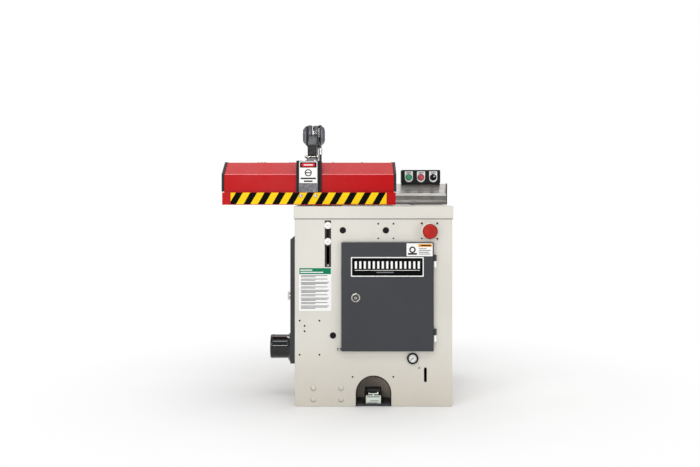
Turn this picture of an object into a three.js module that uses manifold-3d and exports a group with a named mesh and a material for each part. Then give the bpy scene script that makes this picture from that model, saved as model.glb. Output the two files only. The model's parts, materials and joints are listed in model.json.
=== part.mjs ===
// A pneumatic up-cut saw: a sheet-metal cabinet whose blade rises through a slot in the table, under a
// red guard that is also the hold-down. Millimetres, +Z up. X runs along the fence from left to right,
// Y runs from the front panel to the back, and the origin is on the floor under the cabinet's middle.

import * as THREE from "three";
import { mergeVertices } from "three/addons/utils/BufferGeometryUtils.js";
import Module from "manifold-3d";

const wasm = await Module();
wasm.setup();

// ---------------------------------------------------------------------------------------------------
// Driving dimensions
// ---------------------------------------------------------------------------------------------------

const GAP = 0.3; // between two pieces that touch
const RUNNING = 0.35; // between a shaft and its bore

const cabinet = { width: 670, depth: 700, sheet: 3, corner: 5 };
const table = { height: 850, plate: 6, lip: 52, lipSheet: 3, overhang: 4 };
const base = { thickness: 8 };

const left = -cabinet.width / 2;
const right = cabinet.width / 2;
const front = -cabinet.depth / 2;
const back = cabinet.depth / 2;
const cabinetTop = table.height - table.plate - GAP;
const floorTop = base.thickness + GAP;

const blade = { x: -280, radius: 203, thickness: 3.2, teeth: 48, bore: 13 };
const arm = { pivotY: 210, pivotZ: 687, reach: 280, droop: 11.25, pinReach: 150 };
const droop = THREE.MathUtils.degToRad(arm.droop);
const alongArm = (distance) => [
  arm.pivotY - distance * Math.cos(droop),
  arm.pivotZ - distance * Math.sin(droop),
];
const [arborY, arborZ] = alongArm(arm.reach);
const motor = { y: arm.pivotY - 60, z: arm.pivotZ - 330, radius: 95, from: -40, to: 240 };
const pulley = { from: -110, to: -66, arborRadius: 47, motorRadius: 50, lip: 7, belt: 6 };

const fence = { y: 80, height: 100, end: 361, kerf: 10 };
const column = { x: blade.x, y: 285, radius: 22, top: 1215, bottom: 600 };
const guideRod = { x: -250, y: 325, radius: 7 };
const guard = { from: -651, to: 99, face: -316, bottom: 862, cap: 11, sheet: 3 };
const guardSide = [
  [guard.face, 986],
  [-219, 1040],
  [40, 1040],
]; // front top edge, top front edge and top rear edge of the guard, as [Y, Z]
const strap = { width: 100, sheet: 4 };
const apron = { from: -647, to: 96, bottom: 856, top: 909, sheet: 3.2 };

const door = { from: -136, to: 253, bottom: 237, top: 697, depth: 20, sheet: 2 };
const doorHinge = { x: 260.5, y: front - 11, radius: 6.5, heights: [304, 618], length: 27 };
const doorLock = { x: -76, z: 464 };
const sideDoor = { from: -304, to: 150, bottom: 172, top: 706, depth: 21, sheet: 2 };
const sideHinge = { x: left - 12, y: 157, radius: 6.5, from: 200, to: 660 };
const sideLatch = { y: -271, z: 460 };
const dustPort = { y: -232, z: 234, radius: 51, wall: 2.5, end: -446, flange: 57 };

const foot = { radius: 75.5, spring: 55, depth: 120 };
const slot = { x: -194, width: 27, bottom: 592, top: 790, bolts: [700, 768.5] };
const stop = { x: 238, z: 744.5 };
const gauge = { x: 166, z: 204, radius: 24 };
const buttons = { z: 980, x: [180, 238, 296] };
const controlBox = { from: 145, to: 330, front: 84, back: 150, top: 1015 };

// ---------------------------------------------------------------------------------------------------
// Outlines and solids
// ---------------------------------------------------------------------------------------------------

const range = (count) => [...Array(count).keys()];
const outline = (points) => new THREE.Shape(points.map(([a, b]) => new THREE.Vector2(a, b)));
const rectangle = (a0, a1, b0, b1) => outline([[a0, b0], [a1, b0], [a1, b1], [a0, b1]]);

// Points on an arc, in degrees, both ends included.
function arc(a, b, radius, from, to, steps) {
  return range(steps + 1).map((i) => {
    const angle = THREE.MathUtils.degToRad(from + ((to - from) * i) / steps);
    return [a + radius * Math.cos(angle), b + radius * Math.sin(angle)];
  });
}

const circle = (a, b, radius, steps = 24) => outline(arc(a, b, radius, 0, 360, steps).slice(0, -1));

// A slot with round ends, upright between two heights.
function obround(a, b0, b1, width, steps = 6) {
  const r = width / 2;
  return outline([...arc(a, b0 + r, r, 180, 360, steps), ...arc(a, b1 - r, r, 0, 180, steps)]);
}

function roundedRectangle(a0, a1, b0, b1, r, steps = 3) {
  return outline([
    ...arc(a1 - r, b0 + r, r, -90, 0, steps),
    ...arc(a1 - r, b1 - r, r, 0, 90, steps),
    ...arc(a0 + r, b1 - r, r, 90, 180, steps),
    ...arc(a0 + r, b0 + r, r, 180, 270, steps),
  ]);
}

// A straight-sided arch standing on the floor.
function archway(a, radius, bottom, spring, steps = 20) {
  return outline([[a - radius, bottom], [a + radius, bottom], ...arc(a, spring, radius, 0, 180, steps)]);
}

const unitX = new THREE.Vector3(1, 0, 0);
const unitY = new THREE.Vector3(0, 1, 0);
const unitZ = new THREE.Vector3(0, 0, 1);

// Pushes an outline along an axis. The outline is (Y, Z) for x, (X, Z) for y and (X, Y) for z.
function extrude(shape, axis, from, to) {
  const geometry = new THREE.ExtrudeGeometry(shape, { depth: to - from, bevelEnabled: false });
  geometry.translate(0, 0, axis === "y" ? -to : from);
  const turn = new THREE.Matrix4();
  if (axis === "x") turn.makeBasis(unitY, unitZ, unitX);
  if (axis === "y") turn.makeBasis(unitX, unitZ, unitY.clone().negate());
  return geometry.applyMatrix4(turn);
}

function box([x0, x1], [y0, y1], [z0, z1]) {
  const geometry = new THREE.BoxGeometry(x1 - x0, y1 - y0, z1 - z0);
  return geometry.translate((x0 + x1) / 2, (y0 + y1) / 2, (z0 + z1) / 2);
}

// Turns a lathe's own Y axis onto the named axis, then moves it to a point.
function along(geometry, axis, [x, y, z]) {
  if (axis === "x") geometry.rotateZ(-Math.PI / 2);
  if (axis === "z") geometry.rotateX(Math.PI / 2);
  return geometry.translate(x, y, z);
}

// A cylinder between two places on an axis; the other two coordinates come from point.
function rod(axis, radius, from, to, point, steps = 24) {
  const geometry = new THREE.CylinderGeometry(radius, radius, to - from, steps);
  const centre = [...point];
  centre["xyz".indexOf(axis)] = (from + to) / 2;
  return along(geometry, axis, centre);
}

// A body of revolution from [radius, distance along the axis] points.
function turned(profile, axis, point, steps = 32) {
  const points = profile.map(([radius, distance]) => new THREE.Vector2(radius, distance));
  return along(new THREE.LatheGeometry(points, steps), axis, point);
}

function toSolid(geometry) {
  const bare = geometry.clone();
  bare.deleteAttribute("normal");
  bare.deleteAttribute("uv");
  const merged = mergeVertices(bare, 1e-3);
  const corners = [];
  for (let i = 0; i < merged.index.count; i += 3) {
    const [a, b, c] = [0, 1, 2].map((k) => merged.index.getX(i + k));
    if (a !== b && b !== c && a !== c) corners.push(a, b, c);
  }
  const make = (triVerts) =>
    new wasm.Manifold(
      new wasm.Mesh({ numProp: 3, vertProperties: merged.attributes.position.array, triVerts }),
    );
  const solid = make(new Uint32Array(corners));
  return solid.volume() > 0 ? solid : make(new Uint32Array(corners.reverse()));
}

function toGeometry(solid) {
  const mesh = solid.getMesh();
  const geometry = new THREE.BufferGeometry();
  geometry.setAttribute("position", new THREE.BufferAttribute(mesh.vertProperties, 3));
  geometry.setIndex(new THREE.BufferAttribute(mesh.triVerts, 1));
  const faceted = geometry.toNonIndexed();
  faceted.computeVertexNormals();
  return faceted;
}

const join = (...pieces) => toGeometry(pieces.map(toSolid).reduce((a, b) => a.add(b)));
const cut = (piece, ...tools) =>
  toGeometry(tools.map(toSolid).reduce((rest, tool) => rest.subtract(tool), toSolid(piece)));

// ---------------------------------------------------------------------------------------------------
// Materials
// ---------------------------------------------------------------------------------------------------

const finish = (color, roughness, metalness = 0) =>
  new THREE.MeshStandardMaterial({ color, roughness, metalness });

const cream = finish(0xd8d6cf, 0.45);
const charcoal = finish(0x46474b, 0.5);
const red = finish(0xc02b2d, 0.4);
const blackRubber = finish(0x1c1c1c, 0.85);
const blackPlastic = finish(0x202224, 0.6);
const brushedSteel = finish(0x8f8b88, 0.35, 1);
const machinedSteel = finish(0xa8a9ab, 0.3, 1);
const chrome = finish(0xd5d6d8, 0.12, 1);
const aluminium = finish(0xb9bbbd, 0.4, 1);
const castIron = finish(0x4b5057, 0.55);
const motorGrey = finish(0x5c6670, 0.5);
const palmRed = finish(0xc8392f, 0.35);
const startGreen = finish(0x1f8a5a, 0.35);
const stopRed = finish(0xb5283a, 0.35);

const saw = new THREE.Group();
saw.name = "up_cut_saw";

function body(parent = saw) {
  const group = new THREE.Group();
  parent.add(group);
  return group;
}

function part(name, geometry, material, parent) {
  const mesh = new THREE.Mesh(geometry, material);
  mesh.name = name;
  parent.add(mesh);
  return mesh;
}

// ---------------------------------------------------------------------------------------------------
// Cabinet
// ---------------------------------------------------------------------------------------------------

const frame = body();

function frontOpenings() {
  const small = 3;
  const smallHoles = [
    [20, 713], [85, 713], [20, 776], [85, 776],
    [-314, 219], [-230, 219], [-314, 364], [-230, 364], [-293, 342], [-293, 319],
    [-89, 125], [84, 125],
  ];
  const plugs = [[-130.5, 748], [52.5, 748], [-172.5, 301]];
  return [
    rectangle(door.from + 16, door.to - 16, door.bottom + 16, door.top - 16),
    archway(0, foot.radius, -1, foot.spring),
    rectangle(slot.x - slot.width / 2, slot.x + slot.width / 2, slot.bottom, slot.top),
    obround(220.5, 102, 165, 12),
    circle(gauge.x, gauge.z, gauge.radius - 2),
    circle(stop.x, stop.z, 15, 16),
    ...plugs.map(([x, z]) => circle(x, z, 11, 12)),
    ...smallHoles.map(([x, z]) => circle(x, z, small, 8)),
  ];
}

function cabinetShell() {
  const { sheet, corner } = cabinet;
  const outside = extrude(roundedRectangle(left, right, front, back, corner), "z", 0, cabinetTop);
  const inside = box([left + sheet, right - sheet], [front + sheet, back - sheet], [-1, cabinetTop + 1]);
  const frontCuts = frontOpenings().map((shape) => extrude(shape, "y", front - 1, front + sheet + 1));
  const sideCut = box([left - 1, left + sheet + 1], [-286, 115], [185, 690]);
  const backCut = box([-150, 250], [back - sheet - 1, back + 1], [120, 400]);
  return cut(outside, inside, ...frontCuts, sideCut, backCut);
}

function tableTop() {
  const { overhang, lipSheet } = table;
  const reachX = right + overhang;
  const reachY = back + overhang;
  const outside = extrude(
    roundedRectangle(-reachX, reachX, -reachY, reachY, cabinet.corner),
    "z", table.height - table.lip, table.height,
  );
  const inside = box(
    [-reachX + lipSheet, reachX - lipSheet], [-reachY + lipSheet, reachY - lipSheet],
    [table.height - table.lip - 1, table.height - table.plate],
  );
  const insertHole = box([blade.x - 30, blade.x + 30], [-270, 140], [table.height - 10, table.height + 1]);
  const columnHole = rod("z", column.radius + 3, 840, 852, [column.x, column.y, 0]);
  const guideHole = rod("z", guideRod.radius + 2, 840, 852, [guideRod.x, guideRod.y, 0], 16);
  return cut(outside, inside, insertHole, columnHole, guideHole);
}

function tableInsert() {
  const plate = box(
    [blade.x - 30 + GAP, blade.x + 30 - GAP], [-270 + GAP, 140 - GAP],
    [table.height - table.plate, table.height],
  );
  const kerf = extrude(
    rectangle(blade.x - 3, blade.x + 3, -262, 132), "z", table.height - 10, table.height + 1,
  );
  return cut(plate, kerf);
}

// The fence is an extrusion with a low front foot, a sloping ledge and a set-back upper face.
function fenceRail(from, to) {
  const { y, height } = fence;
  const z = table.height + GAP;
  const skin = outline([
    [y, z], [y + 40, z], [y + 40, z + height], [y + 13, z + height], [y + 10, z + height - 3],
    [y + 10, z + 54], [y, z + 42],
  ]);
  skin.holes.push(rectangle(y + 4, y + 36, z + 4, z + 38));
  skin.holes.push(rectangle(y + 14, y + 36, z + 44, z + height - 4));
  return extrude(skin, "x", from, to);
}

function controlBoxShell() {
  const { from, to, front: face, back: rear, top } = controlBox;
  const bottom = table.height + fence.height + 2 * GAP;
  const outside = extrude(roundedRectangle(from, to, bottom, top, 4, 2), "y", face, rear);
  const inside = box([from + 3, to - 3], [face + 3, rear + 1], [bottom + 3, top - 3]);
  const holes = buttons.x.map((x) => rod("y", 11.2, face - 1, face + 4, [x, 0, buttons.z], 20));
  return cut(outside, inside, ...holes);
}

function footRecess() {
  const rear = front + foot.depth;
  const outside = extrude(
    archway(0, foot.radius + 3, floorTop, foot.spring), "y", front + cabinet.sheet + GAP, rear + 3,
  );
  const inside = extrude(archway(0, foot.radius, 0, foot.spring), "y", front, rear);
  return cut(outside, inside);
}

part("cabinet_shell", cabinetShell(), cream, frame);
part(
  "base_plate",
  box(
    [left + cabinet.sheet + GAP, right - cabinet.sheet - GAP],
    [front + cabinet.sheet + GAP, back - cabinet.sheet - GAP], [0, base.thickness],
  ),
  charcoal, frame,
);
part("table_top", tableTop(), cream, frame);
part("table_insert", tableInsert(), aluminium, frame);
part(
  "wear_plate",
  box([-134, 176], [front - 2, fence.y - 1], [table.height + GAP, table.height + 2.3]),
  brushedSteel, frame,
);
part("fence_right", fenceRail(blade.x + fence.kerf, fence.end), brushedSteel, frame);
part("fence_left", fenceRail(left, blade.x - fence.kerf), brushedSteel, frame);
part("control_box", controlBoxShell(), blackPlastic, frame);
part("foot_recess", footRecess(), charcoal, frame);

// The rear cover has rows of cooling slots beside the motor.
function rearCover() {
  const sheet = extrude(rectangle(-180, 280, 90, 430), "y", back + GAP, back + GAP + 2);
  const slots = range(2).flatMap((columnIndex) =>
    range(6).map((row) => {
      const x = -140 + columnIndex * 210;
      const z = 140 + row * 42;
      return box([x, x + 170], [back - 1, back + 4], [z, z + 8]);
    }),
  );
  return cut(sheet, ...slots);
}

part("rear_cover", rearCover(), cream, frame);

// ---------------------------------------------------------------------------------------------------
// Controls on the front panel and on the fence
// ---------------------------------------------------------------------------------------------------

function stopBase() {
  const profile = [[14.5, 0], [36, 0], [36, 6], [28, 15], [14.5, 15], [14.5, 0]];
  const ring = turned(profile, "y", [0, 0, 0], 32);
  return ring.rotateX(Math.PI).translate(stop.x, front - GAP, stop.z);
}

function palmButton() {
  const profile = [[0, -20], [14, -20], [14, 22], [30, 22], [32, 25], [32, 32], [27, 40], [15, 44], [0, 45.5]];
  return turned(profile, "y", [0, 0, 0], 32).rotateX(Math.PI).translate(stop.x, front, stop.z);
}

// A round push button whose cap stands proud of the box by height.
const pushButton = (x, height) =>
  rod("y", 10.8, controlBox.front - height, controlBox.front + 16, [x, 0, buttons.z], 20);

// The selector's lever sits across a round knob and leans to the right.
function selector() {
  const x = buttons.x[2];
  const knob = rod("y", 10.8, controlBox.front - 5, controlBox.front + 16, [0, 0, 0], 20);
  const lever = box([-3.5, 3.5], [controlBox.front - 17, controlBox.front - 4], [-10, 10]);
  return join(knob, lever).rotateY(THREE.MathUtils.degToRad(40)).translate(x, 0, buttons.z);
}

part("stop_button_base", toGeometry(toSolid(stopBase())), cream, frame);
part("palm_stop_button", toGeometry(toSolid(palmButton())), palmRed, body());
part("start_button", pushButton(buttons.x[0], 9), startGreen, body());
part("stop_button", pushButton(buttons.x[1], 11), stopRed, body());
part("selector_knob", selector(), blackPlastic, body());

function gaugeCase() {
  const { radius } = gauge;
  const profile = [
    [0, -30], [radius - 2.5, -30], [radius - 2.5, 0], [radius, 0.3], [radius, 8],
    [radius - 3, 10], [radius - 3, 4], [0, 4],
  ];
  const shell = turned(profile, "y", [0, 0, 0], 28).rotateX(Math.PI);
  return shell.translate(gauge.x, front, gauge.z);
}

// The needle rests on zero, at the lower left of the dial.
function gaugeNeedle() {
  const needle = extrude(outline([[-1.6, -5], [1.6, -5], [0.5, 16], [-0.5, 16]]), "y", -6.2, -5.4);
  const hub = rod("y", 2.6, -6.8, -5, [0, 0, 0], 12);
  return join(needle, hub).rotateY(THREE.MathUtils.degToRad(225)).translate(gauge.x, front, gauge.z);
}

function airRegulator() {
  const centre = [gauge.x, front + 66, 0];
  const block = box([gauge.x - 26, gauge.x + 26], [front + 32, front + 100], [175, 235]);
  const bowl = rod("z", 22, 105, 176, centre, 20);
  const knob = rod("z", 18, 234, 262, centre, 12);
  return join(block, bowl, knob);
}

part("gauge_case", toGeometry(toSolid(gaugeCase())), blackPlastic, frame);
part("gauge_needle", gaugeNeedle(), blackPlastic, body());
part("air_regulator", airRegulator(), blackPlastic, frame);

// The limit valve slides on a rail behind the upright slot, held by two bolts.
function slotRail() {
  const y = front + cabinet.sheet + GAP;
  const channel = box([slot.x - 24, slot.x + 24], [y, y + 10], [slot.bottom - 20, slot.top + 20]);
  const groove = extrude(obround(slot.x, slot.bottom + 12, slot.top - 4, 12), "y", y - 1, y + 11);
  return cut(channel, groove);
}

function limitValve() {
  const y = front + cabinet.sheet + GAP + 10.5;
  const valve = box([slot.x - 22, slot.x + 22], [y, y + 34], [slot.bolts[0] - 22, slot.bolts[1] + 14]);
  const lever = box([slot.x - 6, slot.x + 6], [y + 33, y + 62], [slot.bolts[1] - 8, slot.bolts[1]]);
  const roller = rod("x", 8, slot.x - 6, slot.x + 6, [0, y + 64, slot.bolts[1] - 4], 16);
  return cut(join(valve, lever, roller), ...slot.bolts.map((z) => rod("y", 5.4, y - 1, y + 20, [slot.x, 0, z], 12)));
}

function slotBolt(z) {
  const washer = rod("y", 15, front - 3.3, front - 0.3, [slot.x, 0, z], 24);
  const head = rod("y", 8.5, front - 10, front - 3, [slot.x, 0, z], 6);
  const shank = rod("y", 5, front - 4, front + 30, [slot.x, 0, z], 12);
  return join(washer, head, shank);
}

const limit = body();
part("slot_rail", slotRail(), blackPlastic, frame);
part("limit_valve", limitValve(), aluminium, limit);
part("slot_bolt_lower", slotBolt(slot.bolts[0]), chrome, limit);
part("slot_bolt_upper", slotBolt(slot.bolts[1]), chrome, limit);

// ---------------------------------------------------------------------------------------------------
// Foot pedal
// ---------------------------------------------------------------------------------------------------

const pedal = { front: -332, back: -244, top: 44, hingeZ: 56 };

function pedalBase() {
  const block = box([-37, 37], [pedal.front, pedal.back], [floorTop, pedal.top]);
  const ears = [-1, 1].map((side) =>
    extrude(
      outline([[pedal.back - 22, 40], [pedal.back, 40], ...arc(pedal.back - 11, pedal.hingeZ, 11, 0, 180, 8)]),
      "x", side > 0 ? 30 : -37, side > 0 ? 37 : -30,
    ),
  );
  const pin = rod("x", 4, -31, 31, [0, pedal.back - 11, pedal.hingeZ], 12);
  return join(block, ...ears, pin);
}

// The treadle is a ribbed pad that tips down about a pin at its rear.
function pedalTreadle() {
  const y = pedal.back - 11;
  const side = outline([
    [pedal.front - 2, 58], [y - 10, 52], ...arc(y, pedal.hingeZ, 9, 200, 450, 10),
    [pedal.front + 8, 70], [pedal.front - 2, 67],
  ]);
  const pad = extrude(side, "x", -28, 28);
  return cut(pad, rod("x", 4 + RUNNING, -40, 40, [0, y, pedal.hingeZ], 12));
}

part("pedal_base", pedalBase(), castIron, frame);
part("pedal_treadle", pedalTreadle(), blackRubber, body());

// ---------------------------------------------------------------------------------------------------
// Front door, with its hinges and quarter-turn lock
// ---------------------------------------------------------------------------------------------------

const doorFace = front - door.depth - 1;

function frontDoor() {
  const outside = extrude(
    roundedRectangle(door.from, door.to, door.bottom, door.top, 3, 2), "y", doorFace, front - 1,
  );
  const inside = box(
    [door.from + door.sheet, door.to - door.sheet], [doorFace + door.sheet, front],
    [door.bottom + door.sheet, door.top - door.sheet],
  );
  const lockHole = rod("y", 9 + RUNNING, doorFace - 1, front, [doorLock.x, 0, doorLock.z], 16);
  const knuckles = doorHinge.heights.map((z) => {
    const from = z + GAP;
    const barrel = rod("z", doorHinge.radius, from, z + doorHinge.length, [doorHinge.x, doorHinge.y, 0], 16);
    const tab = box([door.to - 1, doorHinge.x - 2], [doorHinge.y - 3, doorHinge.y + 3], [from, z + doorHinge.length]);
    return join(barrel, tab);
  });
  const bores = doorHinge.heights.map((z) =>
    rod("z", 3.5 + RUNNING, z - 1, z + 22, [doorHinge.x, doorHinge.y, 0], 12),
  );
  return cut(join(cut(outside, inside, lockHole), ...knuckles), ...bores);
}

// The cabinet's half of each hinge carries the pin that the door lifts onto.
function frameKnuckle(z) {
  const { x, y, radius, length } = doorHinge;
  const barrel = rod("z", radius, z - length, z, [x, y, 0], 16);
  const pin = rod("z", 3.5, z - 1, z + 20, [x, y, 0], 12);
  const tab = box([x - 3, x + 3], [y, front - GAP], [z - length, z]);
  return join(barrel, pin, tab);
}

// A round knob with a finger bar, a shank through the door and a cam that turns behind the panel's edge.
function quarterTurnLock() {
  const centre = [doorLock.x, 0, doorLock.z];
  const rose = turned(
    [[0, 0], [20, 0], [20, 3], [16, 6], [12, 10], [0, 10]], "y", [0, 0, 0], 28,
  ).rotateX(Math.PI).translate(doorLock.x, doorFace - GAP, doorLock.z);
  const shank = rod("y", 9, doorFace - 1, front + 9, centre, 16);
  const cam = box([doorLock.x - 8, doorLock.x + 8], [front + 5, front + 8], [doorLock.z - 8, doorLock.z + 58]);
  return join(rose, shank, cam);
}

const frontDoorBody = body();
part("front_door", frontDoor(), charcoal, frontDoorBody);
part("door_lock", quarterTurnLock(), chrome, body(frontDoorBody));
part("door_hinge_lower", frameKnuckle(doorHinge.heights[0]), machinedSteel, frame);
part("door_hinge_upper", frameKnuckle(doorHinge.heights[1]), machinedSteel, frame);

// ---------------------------------------------------------------------------------------------------
// Side door over the blade, with the dust port
// ---------------------------------------------------------------------------------------------------

const sideFace = left - 1 - sideDoor.depth;
const hingeBands = { frame: [[200, 290], [385, 475], [570, 660]], door: [[291, 384], [476, 569]] };

function sideDoorPan() {
  const bevel = 18;
  const section = outline([
    [sideFace, sideDoor.bottom], [left - 1, sideDoor.bottom], [left - 1, sideDoor.top + bevel],
    [sideFace, sideDoor.top],
  ]);
  const outside = extrude(section, "y", sideDoor.from, sideDoor.to);
  const inside = box(
    [sideFace + sideDoor.sheet, left], [sideDoor.from + sideDoor.sheet, sideDoor.to - sideDoor.sheet],
    [sideDoor.bottom + sideDoor.sheet, sideDoor.top - sideDoor.sheet],
  );
  const portHole = rod("x", dustPort.radius - dustPort.wall, sideFace - 1, left, [0, dustPort.y, dustPort.z], 32);
  const latchHole = rod("x", 5 + RUNNING, sideFace - 1, left, [0, sideLatch.y, sideLatch.z], 12);
  const knuckles = hingeBands.door.map(([from, to]) => {
    const barrel = rod("z", sideHinge.radius, from, to, [sideHinge.x, sideHinge.y, 0], 16);
    const tab = box([sideHinge.x - 3, sideHinge.x + 3], [sideDoor.to - 1, sideHinge.y], [from, to]);
    return join(barrel, tab);
  });
  const bore = rod("z", 3.5 + RUNNING, 100, 700, [sideHinge.x, sideHinge.y, 0], 12);
  return cut(join(cut(outside, inside, portHole, latchHole), ...knuckles), bore);
}

function sideHingeLeaf() {
  const { x, y, radius, from, to } = sideHinge;
  const leaf = box([left - 3, left - GAP], [y + 8, y + 36], [from, to]);
  const pin = rod("z", 3.5, from, to, [x, y, 0], 12);
  const knuckles = hingeBands.frame.map(([z0, z1]) => {
    const barrel = rod("z", radius, z0, z1, [x, y, 0], 16);
    const tab = extrude(outline([[x, y + 1], [left - 2, y + 9], [left - 2, y + 14], [x, y + 6]]), "z", z0, z1);
    return join(barrel, tab);
  });
  return join(leaf, pin, ...knuckles);
}

function dustCollar() {
  const { y, z, radius, wall, end, flange } = dustPort;
  const plate = extrude(
    roundedRectangle(y - flange, y + flange, z - flange, z + flange, 6, 2), "x", sideFace - 4, sideFace - GAP,
  );
  const pipe = rod("x", radius, end, sideFace - 2, [0, y, z], 40);
  const bead = rod("x", radius + 1.5, end + 8, end + 12, [0, y, z], 40);
  const bore = rod("x", radius - wall, end - 1, sideFace + 1, [0, y, z], 40);
  return cut(join(plate, pipe, bead), bore);
}

// A wing knob; its cam rests upright and turns forward behind the edge of the opening.
function wingLatch() {
  const { y, z } = sideLatch;
  const wing = box([sideFace - 13, sideFace - 4], [y - 5, y + 5], [z - 17, z + 17]);
  const hub = rod("x", 10, sideFace - 7, sideFace - GAP, [0, y, z], 16);
  const shank = rod("x", 5, sideFace - 5, left + 9, [0, y, z], 12);
  const cam = box([left + 5, left + 8], [y - 6, y + 6], [z - 6, z + 30]);
  return join(wing, hub, shank, cam);
}

const sideDoorBody = body();
part("side_door", sideDoorPan(), charcoal, sideDoorBody);
part("dust_port", dustCollar(), charcoal, sideDoorBody);
part("side_latch", wingLatch(), blackPlastic, body(sideDoorBody));
part("side_hinge", sideHingeLeaf(), charcoal, frame);

// ---------------------------------------------------------------------------------------------------
// Swinging saw frame: arbor in front of the pivot, motor below it
// ---------------------------------------------------------------------------------------------------

const pivot = [0, arm.pivotY, arm.pivotZ];
const arbor = [0, arborY, arborZ];
const motorAxis = [0, motor.y, motor.z];
const pivotRadius = 20;
const liftPin = alongArm(arm.pinReach);
const webs = [[-225, -205], [-150, -130]];

function flangeBearing(side) {
  const wall = side * (right - cabinet.sheet - GAP);
  const inner = side * 300;
  const [from, to] = [wall, inner].sort((a, b) => a - b);
  const [plateFrom, plateTo] = [wall, wall - side * 12].sort((a, b) => a - b);
  const { pivotY: y, pivotZ: z } = arm;
  const plate = extrude(roundedRectangle(y - 32, y + 32, z - 60, z + 60, 8, 2), "x", plateFrom, plateTo);
  const boss = rod("x", 31, from, to, pivot, 20);
  return cut(join(plate, boss), rod("x", pivotRadius + RUNNING, from - 1, to + 1, pivot, 24));
}

// A plate of even width between two points of the YZ plane.
function web([y0, z0], [y1, z1], halfWidth, from, to) {
  const length = Math.hypot(y1 - y0, z1 - z0);
  const ny = (-(z1 - z0) / length) * halfWidth;
  const nz = ((y1 - y0) / length) * halfWidth;
  return extrude(
    outline([[y0 + ny, z0 + nz], [y0 - ny, z0 - nz], [y1 - ny, z1 - nz], [y1 + ny, z1 + nz]]), "x", from, to,
  );
}

function sawFrame() {
  const torqueTube = rod("x", 32, -240, 250, pivot);
  const housing = rod("x", 42, -250, -128, arbor, 28);
  const armWebs = webs.map(([from, to]) => web(alongArm(0), alongArm(arm.reach), 34, from, to));
  const pin = rod("x", 10, webs[0][1] - 2, webs[1][0] + 2, [0, ...liftPin], 16);
  const plateY = motor.y + 106;
  const motorPlate = box([10, 230], [plateY, plateY + 12], [motor.z - 90, motor.z + 95]);
  const ribSide = outline([
    [plateY, motor.z - 60], [plateY + 12, motor.z - 60], [plateY + 12, motor.z + 95],
    [arm.pivotY + 24, arm.pivotZ], [arm.pivotY - 24, arm.pivotZ], [plateY - 40, motor.z + 130],
    [plateY, motor.z + 95],
  ]);
  const ribs = [20, 205].map((x) => extrude(ribSide, "x", x, x + 15));
  const solid = join(torqueTube, housing, ...armWebs, pin, motorPlate, ...ribs);
  return cut(
    solid,
    rod("x", pivotRadius + RUNNING, -300, 300, pivot),
    rod("x", 18 + RUNNING, -300, -100, arbor),
  );
}

function motorBody() {
  const { radius, from, to, y, z } = motor;
  const shell = turned(
    [[0, from], [60, from], [80, from + 10], [radius, from + 14], [radius, to - 40], [radius - 4, to - 36],
      [radius - 4, to - 8], [radius - 14, to], [0, to]],
    "x", motorAxis, 28,
  );
  const feet = [30, 150].map((x) => box([x, x + 55], [y + 60, y + 106 - GAP], [z - 75, z + 75]));
  const terminalBox = box([70, 160], [y - 55, y + 35], [z + 70, z + 125]);
  const shaftBore = rod("x", 14 + RUNNING, from - 1, to - 45, motorAxis, 20);
  return cut(join(shell, ...feet, terminalBox), shaftBore);
}

// A flat-grooved pulley with a lip at each side.
function beltPulley(radius, axis, bore) {
  const { from, to, lip } = pulley;
  const profile = [
    [bore, from], [radius + lip, from], [radius + lip, from + 3], [radius, from + 4],
    [radius, to - 4], [radius + lip, to - 3], [radius + lip, to], [bore, to], [bore, from],
  ];
  return toGeometry(toSolid(turned(profile, "x", axis, 28)));
}

// The belt is a closed loop round both pulleys: two arcs joined by their common tangents.
function beltLoop(offset) {
  const [ay, az] = [arborY, arborZ];
  const [my, mz] = [motor.y, motor.z];
  const ra = pulley.arborRadius + offset;
  const rm = pulley.motorRadius + offset;
  const heading = THREE.MathUtils.radToDeg(Math.atan2(mz - az, my - ay));
  const lean = THREE.MathUtils.radToDeg(Math.acos((ra - rm) / Math.hypot(my - ay, mz - az)));
  return outline([
    ...arc(ay, az, ra, heading + lean, heading + 360 - lean, 20),
    ...arc(my, mz, rm, heading - lean, heading + lean, 20),
  ]);
}

function driveBelt() {
  const loop = beltLoop(GAP + pulley.belt);
  loop.holes.push(beltLoop(GAP));
  return extrude(loop, "x", pulley.from + 5, pulley.to - 5);
}

// The inner blade flange is turned on the arbor; the nose beyond it carries the blade.
function arborShaft() {
  const seat = blade.x + blade.thickness / 2 + GAP;
  const profile = [
    [0, -318], [12.7, -318], [12.7, seat], [50, seat], [50, seat + 8], [24, seat + 12],
    [18, seat + 14], [18, -120], [14, -118], [14, -60], [0, -60],
  ];
  return toGeometry(toSolid(turned(profile, "x", arbor, 28)));
}

function sawBlade() {
  const { radius, teeth, thickness, x, bore } = blade;
  const points = range(teeth).flatMap((i) => {
    const at = (share, r) => {
      const angle = (2 * Math.PI * (i + share)) / teeth;
      return [arborY + r * Math.cos(angle), arborZ + r * Math.sin(angle)];
    };
    return [at(0, radius), at(0.12, radius - 12), at(0.35, radius - 13), at(0.75, radius - 3)];
  });
  const disc = outline(points);
  disc.holes.push(circle(arborY, arborZ, bore, 20));
  return extrude(disc, "x", x - thickness / 2, x + thickness / 2);
}

function bladeFlange() {
  const seat = blade.x - blade.thickness / 2 - GAP;
  const profile = [[13, seat], [50, seat], [50, seat - 6], [26, seat - 11], [13, seat - 11], [13, seat]];
  return toGeometry(toSolid(turned(profile, "x", arbor, 28)));
}

function arborNut() {
  const seat = blade.x - blade.thickness / 2 - 2 * GAP - 11;
  return cut(rod("x", 21, seat - 16, seat, arbor, 6), rod("x", 13, seat - 17, seat + 1, arbor, 20));
}

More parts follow.
